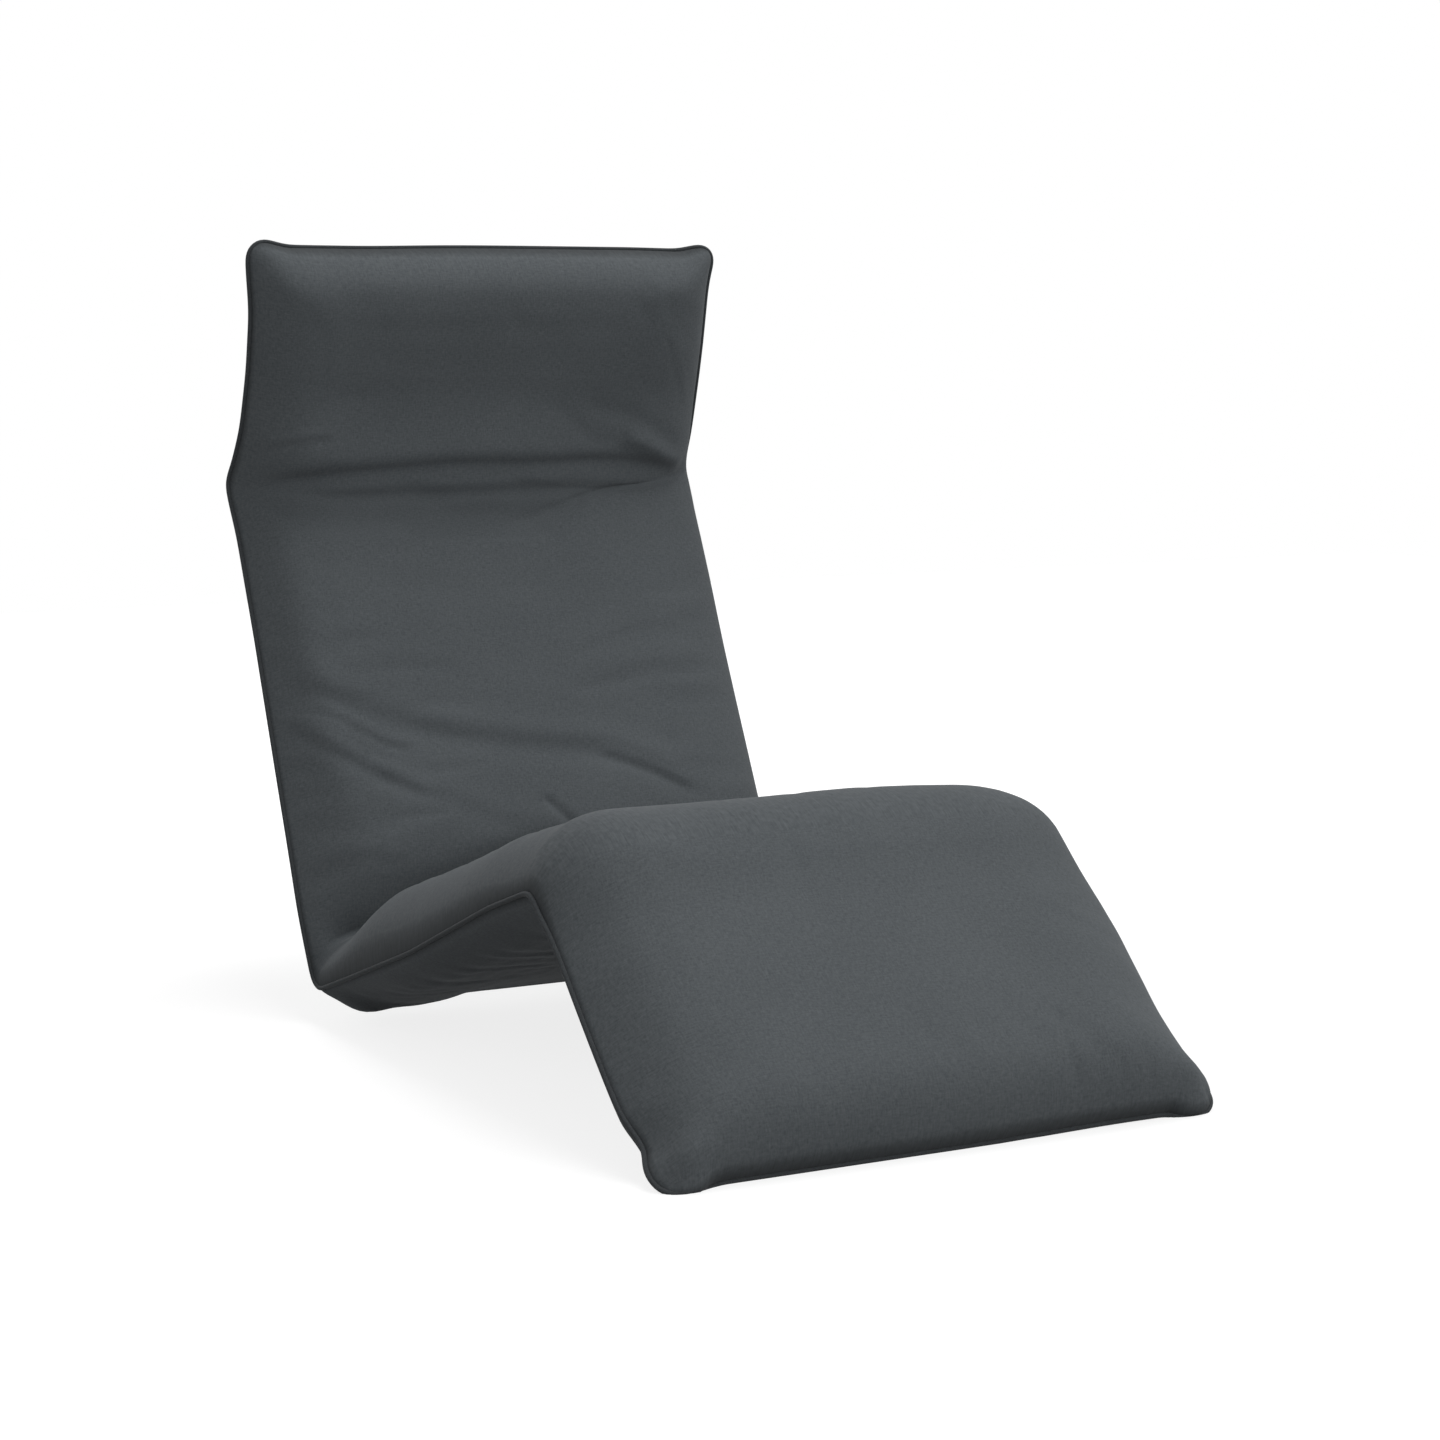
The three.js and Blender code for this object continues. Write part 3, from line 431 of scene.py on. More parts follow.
# Creases and slack in the cover's top side: (kind, height, reach before and after it in millimetres, route in
# (x, way)). A ridge is one bump, a crease is a sharp one, a fold is a bump on one side of its route and a
# hollow on the other, and a dot is round.
STROKES = [
    ("ridge", 4.0, 36, 10, [(-0.29, 0.253), (-0.265, 0.245), (-0.225, 0.231), (-0.171, 0.223),
        (-0.113, 0.219), (-0.054, 0.216), (0.007, 0.216), (0.069, 0.217), (0.134, 0.219),
        (0.186, 0.224), (0.245, 0.234), (0.29, 0.243)]),
    ("ridge", -7.0, 10, 14, [(-0.29, 0.261), (-0.265, 0.253), (-0.225, 0.239), (-0.171, 0.232),
        (-0.113, 0.228), (-0.054, 0.225), (0.007, 0.225), (0.069, 0.226), (0.134, 0.228),
        (0.186, 0.233), (0.245, 0.241), (0.29, 0.249)]),
    ("ridge", -3.3, 14, 15, [(-0.29, 0.258), (-0.257, 0.262), (-0.221, 0.264), (-0.167, 0.265),
        (-0.109, 0.266), (-0.050, 0.266), (0.010, 0.264), (0.071, 0.260), (0.115, 0.257), (0.160, 0.254)]),
    ("crease", -4.0, 12, 20, [(0.000, 0.336), (0.031, 0.326), (0.060, 0.313), (0.104, 0.291),
        (0.144, 0.277), (0.173, 0.270), (0.201, 0.262), (0.228, 0.257), (0.261, 0.256), (0.32, 0.256)]),
    ("ridge", -2.4, 11, 9, [(0.110, 0.164), (0.150, 0.172), (0.182, 0.182), (0.205, 0.193),
        (0.226, 0.206), (0.245, 0.221)]),
    ("ridge", 6.0, 10, 12, [(0.166, 0.200), (0.182, 0.203), (0.200, 0.209), (0.216, 0.218),
        (0.232, 0.229), (0.262, 0.243)]),
    ("fold", 1.2, 7, 7, [(-0.285, 0.235), (-0.272, 0.223), (-0.253, 0.205), (-0.224, 0.195),
        (-0.190, 0.190)]),
    ("fold", 1.3, 5, 5, [(0.212, 0.080), (0.222, 0.101), (0.233, 0.125), (0.244, 0.149), (0.254, 0.176)]),
    ("fold", 2.3, 17, 17, [(-0.285, 0.475), (-0.259, 0.497), (-0.245, 0.515), (-0.211, 0.537),
        (-0.173, 0.554), (-0.112, 0.579), (-0.049, 0.593), (0.010, 0.602), (0.065, 0.610),
        (0.118, 0.629), (0.156, 0.650), (0.200, 0.665)]),
    ("fold", 1.5, 7, 7, [(0.060, 0.619), (0.085, 0.625), (0.118, 0.639), (0.150, 0.656), (0.178, 0.670)]),
    ("fold", 1.0, 7, 7, [(-0.250, 0.540), (-0.224, 0.554), (-0.201, 0.572), (-0.172, 0.591),
        (-0.140, 0.600)]),
    ("fold", 1.5, 9, 9, [(-0.278, 0.540), (-0.259, 0.560), (-0.239, 0.584), (-0.202, 0.613),
        (-0.164, 0.638), (-0.130, 0.652)]),
    ("fold", 0.7, 14, 14, [(-0.210, 0.606), (-0.164, 0.638), (-0.123, 0.654), (-0.069, 0.681),
        (-0.020, 0.690)]),
    ("ridge", -3.2, 4, 6, [(-0.012, 0.664), (-0.006, 0.671), (0.003, 0.681), (0.013, 0.692),
        (0.022, 0.703)]),
    ("ridge", -12.0, 21, 34, [(-0.285, 0.795), (-0.210, 0.782), (-0.166, 0.770), (-0.120, 0.757),
        (-0.073, 0.743), (-0.024, 0.730), (0.050, 0.718)]),
    ("ridge", -2.4, 5, 5, [(0.130, 1.625), (0.128, 1.640), (0.123, 1.666), (0.124, 1.686),
        (0.129, 1.712)]),
    ("ridge", -1.6, 4, 4, [(0.169, 1.675), (0.171, 1.690), (0.175, 1.714)]),
    ("ridge", -1.6, 4, 4, [(0.201, 1.670), (0.203, 1.686), (0.208, 1.714)]),
    ("ridge", -1.2, 4, 4, [(0.152, 1.660), (0.151, 1.673), (0.150, 1.712)]),
    ("dot", -2.5, 90, 90, [(-0.060, 1.390)]),
    ("dot", 6.0, 17, 17, [(-0.260, 1.694)]),
    ("dot", 4.0, 17, 17, [(0.260, 1.694)]),
]

# What makes a fold's highest point 1, how blunt a crease is, the share of its route over which a stroke
# fades at each end, and how far from the seam strokes fade, in metres
FOLD_BUMP = -2.33
CREASE_BLUNTNESS = 0.15
STROKE_ENDS = 0.15
STROKE_EDGE = 0.02


def stroked(x, way):
    """How far the creases and slack stand over the plain cover, in metres."""
    total = np.zeros(x.shape)
    for kind, height, before, after, route in STROKES:
        if kind == "dot":
            off = np.hypot(x - route[0][0], way - route[0][1])
            total = total + height / 1000 * bell(off * 1000 / before)
            continue
        off, sign, share = route_distance(x, way, route)
        t = off * sign * 1000 / np.where(sign < 0, before, after)
        bump = bell(t)
        if kind == "fold":
            bump = bump * t * FOLD_BUMP
        if kind == "crease":
            bump = np.exp(CREASE_BLUNTNESS - np.hypot(t, CREASE_BLUNTNESS))
        total = total + height / 1000 * bump * smooth(share / STROKE_ENDS) * smooth((1 - share) / STROKE_ENDS)
    free = np.minimum(half - np.abs(x), np.minimum(way, TOTAL - way))
    return total * smooth(free / STROKE_EDGE)


# How far in from the side seams the cover follows their push
PUSH_REACH = 0.115

# The low side at the heel, in metres: flat in the middle, with a bump over each hinge
HEEL_RAISE = 0.009
HEEL_HALF = 0.10
HEEL_FADE = 0.09
HEEL_WAY = starts[2] + 0.03
HEEL_REACH = 0.11
HINGE_BUMP = 0.0085
HINGE_X = 0.235
HINGE_HALF = 0.024
HINGE_WAY = starts[2] + 0.018
HINGE_REACH = 0.028

# Cloth that reaches the floor is pressed flat, to less than this height over it, in metres
PRESSED = 0.0004
PRESS_DEPTH = 0.01


def shaped(place, out, way, side, creased=True):
    """Points of one side of the cover, with its ears and, on the top side, its creases."""
    x, shift = ears(X, way)
    along = np.stack([-out[..., 1], out[..., 0]], -1)
    edge = 1 - smooth((half - np.abs(X)) / PUSH_REACH)
    yz = place + shift[..., None] * along + (run_through(way, PUSHED) * edge)[..., None] * out
    if side > 0 and creased:
        yz = yz + stroked(X, way)[..., None] * out
    if side < 0:
        raised = (1 - smooth((np.abs(X) - HEEL_HALF) / HEEL_FADE)) * bell((way - HEEL_WAY) / HEEL_REACH)
        hinge = bell((np.abs(X) - HINGE_X) / HINGE_HALF) * bell((way - HINGE_WAY) / HINGE_REACH)
        yz = yz + (HEEL_RAISE * raised - HINGE_BUMP * hinge)[..., None] * out
    points = np.concatenate([x[..., None], yz], -1)
    up = points[..., 2]
    points[..., 2] = np.where(up < 0, PRESSED * (1 - np.exp(np.minimum(up, 0) / PRESS_DEPTH)), up)
    return points


top = shaped(top_place, top_out, top_way, 1)
low = shaped(low_place, low_out, low_way, -1)


# Meshes
def shared_seam(shape):
    """Point numbers of the upper and the lower side of a skin, which have the seam's points in common."""
    count = shape[0] * shape[1]
    upper = np.arange(count).reshape(shape)
    seam = np.ones(shape, bool)
    seam[1:-1, 1:-1] = False
    return upper, np.where(seam, upper, count + upper), seam


def two_sided(upper, lower):
    """Faces of a skin, from the point numbers of its upper and its lower side."""
    faces = []
    for grid, flip in ((upper, False), (lower, True)):
        quad = np.stack([grid[:-1, :-1], grid[1:, :-1], grid[1:, 1:], grid[:-1, 1:]], -1).reshape(-1, 4)
        faces.append(quad[:, ::-1] if flip else quad)
    return np.concatenate(faces)


def mesh_object(name, points, faces):
    mesh = bpy.data.meshes.new(name)
    mesh.from_pydata([tuple(p) for p in points], [], [tuple(int(i) for i in f) for f in faces])
    mesh.update()
    made = bpy.data.objects.new(name, mesh)
    bpy.context.scene.collection.objects.link(made)
    mesh.polygons.foreach_set("use_smooth", [True] * len(mesh.polygons))
    return made


def add_uv(made, coords):
    """Writes cloth coordinates in metres, one pair for each point."""
    loops = np.zeros(len(made.data.loops), np.int32)
    made.data.loops.foreach_get("vertex_index", loops)
    layer = made.data.uv_layers.new(name="cloth")
    layer.data.foreach_set("uv", coords[loops].astype(np.float32).ravel())


def add_seam(made, values):
    """Writes each point's distance from the seam."""
    attribute = made.data.attributes.new("seam", "FLOAT", "POINT")
    attribute.data.foreach_set("value", np.asarray(values, np.float32))


def cover_piece(name, first, last):
    """Rows first to last of the cover as one mesh, its two sides joined along the seam."""
    upper, lower, _ = shared_seam((ROWS, COLUMNS))
    faces = two_sided(upper[first : last + 1], lower[first : last + 1])
    used = np.unique(faces)
    place = np.full(2 * ROWS * COLUMNS, -1)
    place[used] = np.arange(len(used))
    points = np.concatenate([top.reshape(-1, 3), low.reshape(-1, 3)])
    made = mesh_object(name, points[used], place[faces])
    x = np.concatenate([X.ravel(), X.ravel()])
    way = np.concatenate([top_way.ravel(), low_way.ravel()])
    coords = np.stack([x, way], 1)[used]
    add_uv(made, coords)
    add_seam(made, np.minimum(half - np.abs(coords[:, 0]), np.minimum(coords[:, 1], TOTAL - coords[:, 1])))
    return made


# A cloth simulation shakes out the cover's slack: its small wrinkles are kept, and its swelling is left out
CLOTH_STEP = 0.011
CLOTH_CAP = 0.0013
CLOTH_FRAMES = 20
CLOTH_SLACK = 0.02
SWELLING_REACH = 4
WRINKLE_EDGE = 0.012


def spaced(line):
    """Indices along a line of points, about a cloth step apart."""
    gone = distances(line)
    count = round(gone[-1] / CLOTH_STEP)
    found = np.searchsorted(gone, np.linspace(0, gone[-1], count + 1))
    return np.unique(np.clip(found, 0, len(line) - 1))


def blurred(grid, reach):
    kernel = np.hanning(2 * reach + 3)[1:-1]
    kernel /= kernel.sum()
    for _ in range(2):
        padded = np.pad(grid, ((reach, reach), (0, 0)), mode="edge")
        grid = np.stack([np.convolve(padded[:, c], kernel, "valid") for c in range(grid.shape[1])], 1).T
    return grid


def simulated(points, faces, held):
    """Where the places of a mesh go in the cloth simulation."""
    made = mesh_object("cloth_try", points, faces)
    made.vertex_groups.new(name="held").add([int(i) for i in held], 1.0, "REPLACE")
    cloth = made.modifiers.new("cloth", "CLOTH")
    settings = cloth.settings
    settings.quality = 5
    settings.vertex_group_mass = "held"
    settings.use_pressure = True
    settings.uniform_pressure_force = 4.0
    settings.shrink_min = -CLOTH_SLACK
    settings.shrink_max = -CLOTH_SLACK
    settings.tension_stiffness = 15.0
    settings.compression_stiffness = 15.0
    settings.bending_stiffness = 0.2
    settings.effector_weights.gravity = 0.0
    cloth.point_cache.frame_start = 1
    cloth.point_cache.frame_end = CLOTH_FRAMES
    scene = bpy.context.scene
    for number in range(1, CLOTH_FRAMES + 1):
        scene.frame_set(number)
        moved = made.evaluated_get(bpy.context.evaluated_depsgraph_get()).data.vertices
    places = np.zeros(len(moved) * 3)
    moved.foreach_get("co", places)
    scene.frame_set(1)
    bpy.data.objects.remove(made)
    return places.reshape(-1, 3)


def wrinkles():
    """How far the cloth's wrinkles stand over each side's grid."""
    plain = shaped(top_place, top_out, top_way, 1, creased=False)
    keep_rows = spaced((plain[:, COLUMNS // 2] + low[:, COLUMNS // 2]) / 2)
    keep_columns = spaced((plain[ROWS // 2] + low[ROWS // 2]) / 2)
    picked = np.ix_(keep_rows, keep_columns)
    shape = (len(keep_rows), len(keep_columns))
    upper, lower, seam = shared_seam(shape)
    points = np.concatenate([plain[picked].reshape(-1, 3), low[picked].reshape(-1, 3)])
    moved = simulated(points, two_sided(upper, lower), upper[seam]) - points
    found = []
    for part, out in zip(np.split(moved, 2), (top_out[picked], -low_out[picked])):
        rise = (part.reshape(*shape, 3)[..., 1:] * out).sum(-1)
        fine = rise - blurred(rise, SWELLING_REACH)
        fine = CLOTH_CAP * np.tanh(fine / CLOTH_CAP)
        fine[seam] = 0
        along = np.stack([np.interp(np.arange(ROWS), keep_rows, fine[:, c]) for c in range(shape[1])], 1)
        whole = np.stack([np.interp(np.arange(COLUMNS), keep_columns, line) for line in along])
        found.append(blurred(whole, 1))
    return found


free = smooth(np.minimum(half - np.abs(X), np.minimum(top_way, TOTAL - top_way)) / WRINKLE_EDGE)
for side, out, rise in zip((top, low), (top_out, -low_out), wrinkles()):
    side[..., 1:] += (rise * free)[..., None] * out
    side[..., 2] = np.maximum(side[..., 2], 0)


def row_of(section, share):
    found = [r for r, (kind, i, *_) in enumerate(rows) if kind == "run" and i == section]
    return found[round(share * (len(found) - 1))]


mid_back, mid_seat = row_of(1, 0.5), row_of(2, 0.5)
spans = {"head_back": (0, mid_back), "back_seat": (mid_back, mid_seat), "seat_leg": (mid_seat, ROWS - 1)}


covers = {name: cover_piece("cover_" + name, *span) for name, span in spans.items()}

# The piping stands out of the seam by this share of its radius, and over the floor by this height in metres
CORD_OUT_SHARE = 0.8
CORD_OVER_FLOOR = 0.0002


def tube(name, path, radius, sides=10):
    """A closed-ended cord along a path of points."""
    path = np.array(path)
    tangent = np.gradient(path, axis=0)
    tangent /= np.linalg.norm(tangent, axis=1)[:, None]
    ref = np.array([1.0, 0.0, 0.0]) if abs(tangent[0][0]) < 0.9 else np.array([0.0, 0.0, 1.0])
    u = unit(np.cross(tangent[0], ref))
    angles = np.arange(sides) * 2 * math.pi / sides
    rings = []
    for p, t in zip(path, tangent):
        u = unit(u - (u @ t) * t)
        v = np.cross(t, u)
        rings.append(p + radius * (np.cos(angles)[:, None] * u + np.sin(angles)[:, None] * v))
    points = np.concatenate(rings + [path[:1], path[-1:]])
    points[:, 2] = np.maximum(points[:, 2], CORD_OVER_FLOOR)
    faces = []
    for k in range(len(path) - 1):
        for s in range(sides):
            a, b = k * sides + s, k * sides + (s + 1) % sides
            faces.append((a, b, b + sides, a + sides))
    made = mesh_object(name, points, faces)
    gone = distances(path)
    around = np.tile(angles * radius, len(path))
    add_uv(made, np.stack([np.append(around, [0, 0]), np.append(np.repeat(gone, sides), [0, gone[-1]])], 1))
    add_seam(made, np.ones(len(points)))
    return made


def cord_point(seam, inner):
    """A point of the cord beside a seam point, away from the cover's middle just inside it."""
    inward = (top[inner] + low[inner]) / 2 - top[seam]
    return top[seam] - unit(inward) * CORD_RADIUS * CORD_OUT_SHARE


def seam_path(first, last, column):
    inner = 1 if column == 0 else COLUMNS - 2
    return [cord_point((r, column), (min(max(r, 1), ROWS - 2), inner)) for r in range(first, last + 1)]


def end_path(row):
    inner = 1 if row == 0 else ROWS - 2
    return [cord_point((row, c), (inner, c)) for c in range(1, COLUMNS - 1)]


def evened(path):
    """The path's points at even steps, and twice softened."""
    path = np.array(path)
    gone = distances(path)
    at = np.linspace(0, gone[-1], max(2, round(gone[-1] / CORD_STEP)))
    found = np.stack([np.interp(at, gone, path[:, k]) for k in range(3)], 1)
    kernel = np.array([1, 2, 3, 2, 1]) / 9
    for _ in range(2):
        padded = np.vstack([found[:1]] * 2 + [found] + [found[-1:]] * 2)
        soft = np.stack([np.convolve(padded[:, k], kernel, "valid") for k in range(3)], 1)
        soft[0], soft[-1] = found[0], found[-1]
        found = soft
    return found


left_top = seam_path(0, mid_back, 0)[::-1]
right_top = seam_path(0, mid_back, COLUMNS - 1)
left_foot = seam_path(mid_seat, ROWS - 1, 0)
right_foot = seam_path(mid_seat, ROWS - 1, COLUMNS - 1)[::-1]
cords = {
    "piping_head_back": ("head_back", left_top + end_path(0) + right_top),
    "piping_back_seat_left": ("back_seat", seam_path(mid_back, mid_seat, 0)),
    "piping_back_seat_right": ("back_seat", seam_path(mid_back, mid_seat, COLUMNS - 1)),
    "piping_seat_leg": ("seat_leg", left_foot + end_path(ROWS - 1) + right_foot),
}
pipings = {name: tube(name, evened(path), CORD_RADIUS) for name, (_, path) in cords.items()}

# Foam, pads and slings inside the cover. Beside the neck's creases the foam stays further off the cover.
NECK_CLEARANCE = 0.014
NECK_REACH = 0.08


def whole_cover():
    """The cover's outside as one tree to measure from."""
    upper, lower, _ = shared_seam((ROWS, COLUMNS))
    points = np.concatenate([top.reshape(-1, 3), low.reshape(-1, 3)])
    return BVHTree.FromPolygons(points.tolist(), two_sided(upper, lower).tolist())


def kept_inside(made):
    """Moves what reaches the cover back inside it, and further back beside the neck's creases."""
    for _ in range(2):
        for vertex in made.data.vertices:
            place, out, _, _ = outside.find_nearest(vertex.co)
            off = math.hypot(vertex.co.y - neck[0], vertex.co.z - neck[1])
            clear = COVER_WALL + NECK_CLEARANCE * math.exp(-((off / NECK_REACH) ** 4))
            if (vertex.co - place).dot(out) > -clear:
                vertex.co = place - out * clear


# Fold, its side, the slope the foam is cut to there in degrees, and how far off the fold the foam stops
FOLD_ROOM = [
    (1, 1, 45, 0.020),
    (1, -1, 60, 0.030),
    (2, 1, 14, 0.105),
    (2, -1, 35, 0.075),
    (3, 1, 60, 0.040),
    (3, -1, 15, 0.062),
]

# How far from a fold the foam is moved away from it, and how far the foam stays under its slope, in metres
FOLD_REACH = 0.17
FOLD_GAP = 0.004


def cut_back(made, section):
    """Cuts a foam piece to a wedge beside the folds, so that it stays inside the cover when they close."""
    co = np.array([vertex.co[:] for vertex in made.data.vertices])
    for i, closing, angle, stop in FOLD_ROOM:
        if section not in (i - 1, i):
            continue
        away = travel[section] if section == i else -travel[section]
        up = normal[section] * closing
        off = co[:, 1:] - corners[i]
        along, height = off @ away, off @ up
        if height.mean() < 0:
            continue
        first = along.min()
        squeezed = stop + (along - first) * (FOLD_REACH - stop) / (FOLD_REACH - first)
        along = np.where(along < FOLD_REACH, squeezed, along)
        room = math.tan(math.radians(angle)) * along - FOLD_GAP
        height = np.minimum(height, room)
        co[:, 1:] = corners[i] + along[:, None] * away + height[:, None] * up
    made.data.vertices.foreach_set("co", co.astype(np.float32).ravel())
    made.data.update()


def applied(made):
    """Makes the object's modifiers part of its mesh."""
    graph = bpy.context.evaluated_depsgraph_get()
    mesh = bpy.data.meshes.new_from_object(made.evaluated_get(graph))
    made.modifiers.clear()
    made.data = mesh
    mesh.polygons.foreach_set("use_smooth", [True] * len(mesh.polygons))


def soft_inside(name, node, voxel, section):
    """A foam piece with soft edges, in the space of its CAD solid and under the cover."""
    made = bpy.data.objects.new(name, nodes[node].data.copy())
    bpy.context.scene.collection.objects.link(made)
    made.data.materials.clear()
    remesh = made.modifiers.new("remesh", "REMESH")
    remesh.mode = "VOXEL"
    remesh.voxel_size = voxel
    relaxed = made.modifiers.new("relaxed", "SMOOTH")
    relaxed.iterations = 4
    applied(made)
    cut_back(made, section)
    kept_inside(made)
    return made


outside = whole_cover()
FOAM_VOXEL = 0.007
foams = {}
for number, section in enumerate(SECTIONS):
    for kind in ("foam", "pad"):
        name = f"{kind}_{section}"
        foams[name] = (section, soft_inside(name, f"{section}_{kind}", FOAM_VOXEL, number))

# A sling: its middle lies on the side tubes, and its edges wrap them in sewn sleeves, each ending in a flat
# hem under the cloth. Near its ends it is drawn in a little. Sizes are in metres. A span runs from one end of
# the cloth to the other, measured from where its section starts.
TUBE_X = 0.232
SLEEVE_RADIUS = 0.0104
SLEEVE_TURN = (35, -270)
SLING_HALF_WALL = 0.00055
SLEEVE_HEM = 0.022
HEM_START = 0.0125
HEM_DROP = 0.0014
HEM_TURN = (0.0108, 0.0080)
SLING_STEP = 0.012
SLING_DRAWN = 0.0012
SLING_DRAWN_REACH = 0.006
SLING_SPANS = {0: (0.102, 0.209), 1: (0.0933, 0.4767), 2: (0.0933, 0.4667), 3: (0.056, 0.218)}


def sling_profile():
    """Middle line of the cloth across the frame, from one sewn hem to the other, in (x, height)."""
    hem_height = SLEEVE_RADIUS - HEM_DROP
    points = [(-TUBE_X + HEM_START + SLEEVE_HEM * t, hem_height) for t in np.linspace(1, 0, 6)]
    points += [(-TUBE_X + HEM_TURN[0], HEM_TURN[1])]
    turns = np.radians(np.linspace(*SLEEVE_TURN, 30))
    points += [(-TUBE_X + SLEEVE_RADIUS * math.cos(q), SLEEVE_RADIUS * math.sin(q)) for q in turns]
    points += [(x, SLEEVE_RADIUS) for x in np.linspace(-TUBE_X, 0, 24)[1:]]
    left = np.array(points)
    return np.vstack([left, (left[:-1] * (-1, 1))[::-1]])


def sling_piece(section):
    """A sling of one section, and its flat size."""
    first, last = SLING_SPANS[section]
    profile = sling_profile()
    slope = np.gradient(profile, axis=0)
    slope /= np.linalg.norm(slope, axis=1)[:, None]
    side = np.stack([-slope[:, 1], slope[:, 0]], 1) * SLING_HALF_WALL
    loop = np.vstack([profile + side, (profile - side)[::-1]])
    ways = np.linspace(first, last, max(6, round((last - first) / SLING_STEP)))
    drawn = SLING_DRAWN * np.exp(-np.minimum(ways - first, last - ways) / SLING_DRAWN_REACH)
    rings = []
    for along, thin in zip(ways, drawn):
        ring = loop * (1 - thin / TUBE_X, 1)
        yz = corners[section] + along * travel[section] + ring[:, 1:] * normal[section]
        rings.append(np.column_stack([ring[:, 0], yz]))
    count = len(loop)
    faces = []
    for k in range(len(ways) - 1):
        for c in range(count):
            d = (c + 1) % count
            faces.append((k * count + c, k * count + d, (k + 1) * count + d, (k + 1) * count + c))
    for k in (0, len(ways) - 1):
        for c in range(len(profile) - 1):
            quad = (k * count + c, k * count + c + 1, k * count + count - 2 - c, k * count + count - 1 - c)
            faces.append(quad[::-1] if k == 0 else quad)
    made = mesh_object("sling_" + SECTIONS[section], np.vstack(rings), faces)
    gone = distances(profile)
    over = np.concatenate([gone, gone[::-1]])
    add_uv(made, np.stack([np.tile(over, len(ways)), np.repeat(ways, count)], 1))
    return made, (float(gone[-1]), float(last - first))


slings = {section: sling_piece(section) for section in SLING_SPANS}


# Materials. Cloth has this many threads in a metre, then come the length and fineness of its flecks, the
# depth of its cloud, and how dark and how wide the painted shadow along its seam is, partly the seam's own
# darker cloth.
THREADS = 700.0
THREAD_LENGTH_SHARE = 0.22
FLECK_SHARE = 0.55
CLOUD_DEPTH = 0.12
SEAM_PAINTED_SHADOW_DEPTH = 0.45
SEAM_PAINTED_SHADOW_WIDTH = 0.004


def shader(name):
    material = bpy.data.materials.new(name)
    material.use_nodes = True
    return material, material.node_tree, material.node_tree.nodes["Principled BSDF"]


def add(tree, kind, inputs=None, **settings):
    """A shader node, its sockets set to values or linked to other nodes' outputs."""
    made = tree.nodes.new("ShaderNode" + kind)
    for key, value in settings.items():
        setattr(made, key, value)
    for socket, value in (inputs or {}).items():
        if isinstance(value, bpy.types.NodeSocket):
            tree.links.new(value, made.inputs[socket])
        else:
            made.inputs[socket].default_value = value
    return made


def math_node(tree, operation, *values):
    return add(tree, "Math", dict(enumerate(values)), operation=operation).outputs[0]


def noise(tree, vector, scale, detail, roughness=0.5):
    inputs = {"Vector": vector, "Scale": scale, "Detail": detail, "Roughness": roughness}
    return add(tree, "TexNoise", inputs).outputs["Fac"]


def ramp(tree, source, stops):
    made = tree.nodes.new("ShaderNodeValToRGB")
    tree.links.new(source, made.inputs["Fac"])
    band = made.color_ramp
    while len(band.elements) < len(stops):
        band.elements.new(0.5)
    for element, (at, colour) in zip(band.elements, stops):
        element.position = at
        element.color = (*colour, 1)
    return made.outputs["Color"]


def add_bump(tree, bsdf, height, strength, distance, invert=False):
    inputs = {"Height": height, "Strength": strength, "Distance": distance}
    bump = add(tree, "Bump", inputs, invert=invert)
    tree.links.new(bump.outputs["Normal"], bsdf.inputs["Normal"])


def thread_noise(tree, uv, scale):
    """Flecks of threads that run one way."""
    vector = add(tree, "Mapping", {"Vector": uv, "Scale": (*scale, 1)}).outputs["Vector"]
    return noise(tree, vector, 1.0, 3.0, 0.65)


def fabric(name, dark, light, threads):
    """Woven cloth: short flecks both ways, finer ones between, a soft cloud over all, and painted shadow
    along the seam, partly the seam's own darker cloth.
    """
    material, tree, bsdf = shader(name)
    uv = add(tree, "UVMap", uv_map="cloth").outputs["UV"]
    warp = thread_noise(tree, uv, (threads, threads * THREAD_LENGTH_SHARE))
    weft = thread_noise(tree, uv, (threads * THREAD_LENGTH_SHARE, threads))
    fleck = noise(tree, uv, threads * FLECK_SHARE, 4.0, 0.7)
    cloud = noise(tree, uv, 9.0, 3.0)
    total = math_node(tree, "ADD", math_node(tree, "ADD", warp, weft), fleck)
    woven = math_node(tree, "MULTIPLY", total, 1 / 3)
    clouded = math_node(tree, "MULTIPLY_ADD", cloud, CLOUD_DEPTH, -CLOUD_DEPTH / 2)
    level = math_node(tree, "ADD", woven, clouded)
    colour = ramp(tree, level, [(0.38, dark), (0.62, light)])
    # Painted shadow along the seam: within a few millimetres of it the colour is multiplied darker, partly
    # for the seam's own darker cloth.
    seam = add(tree, "Attribute", attribute_name="seam").outputs["Fac"]
    limits = {"From Min": 0.0, "From Max": SEAM_PAINTED_SHADOW_WIDTH, "To Min": SEAM_PAINTED_SHADOW_DEPTH, "To Max": 1.0}
    near = add(tree, "MapRange", {"Value": seam, **limits}).outputs["Result"]
    inputs = {"Factor": 1.0, "A": colour, "B": near}
    seam_shadowed_colour = add(tree, "Mix", inputs, data_type="RGBA", blend_type="MULTIPLY").outputs["Result"]
    tree.links.new(seam_shadowed_colour, bsdf.inputs["Base Color"])
    bsdf.inputs["Roughness"].default_value = 0.92
    bsdf.inputs["Specular IOR Level"].default_value = 0.18
    bsdf.inputs["Sheen Weight"].default_value = 0.06
    bsdf.inputs["Sheen Roughness"].default_value = 0.5
    add_bump(tree, bsdf, woven, 0.35, 0.0006)
    return material


def object_place(tree):
    return add(tree, "TexCoord").outputs["Object"]


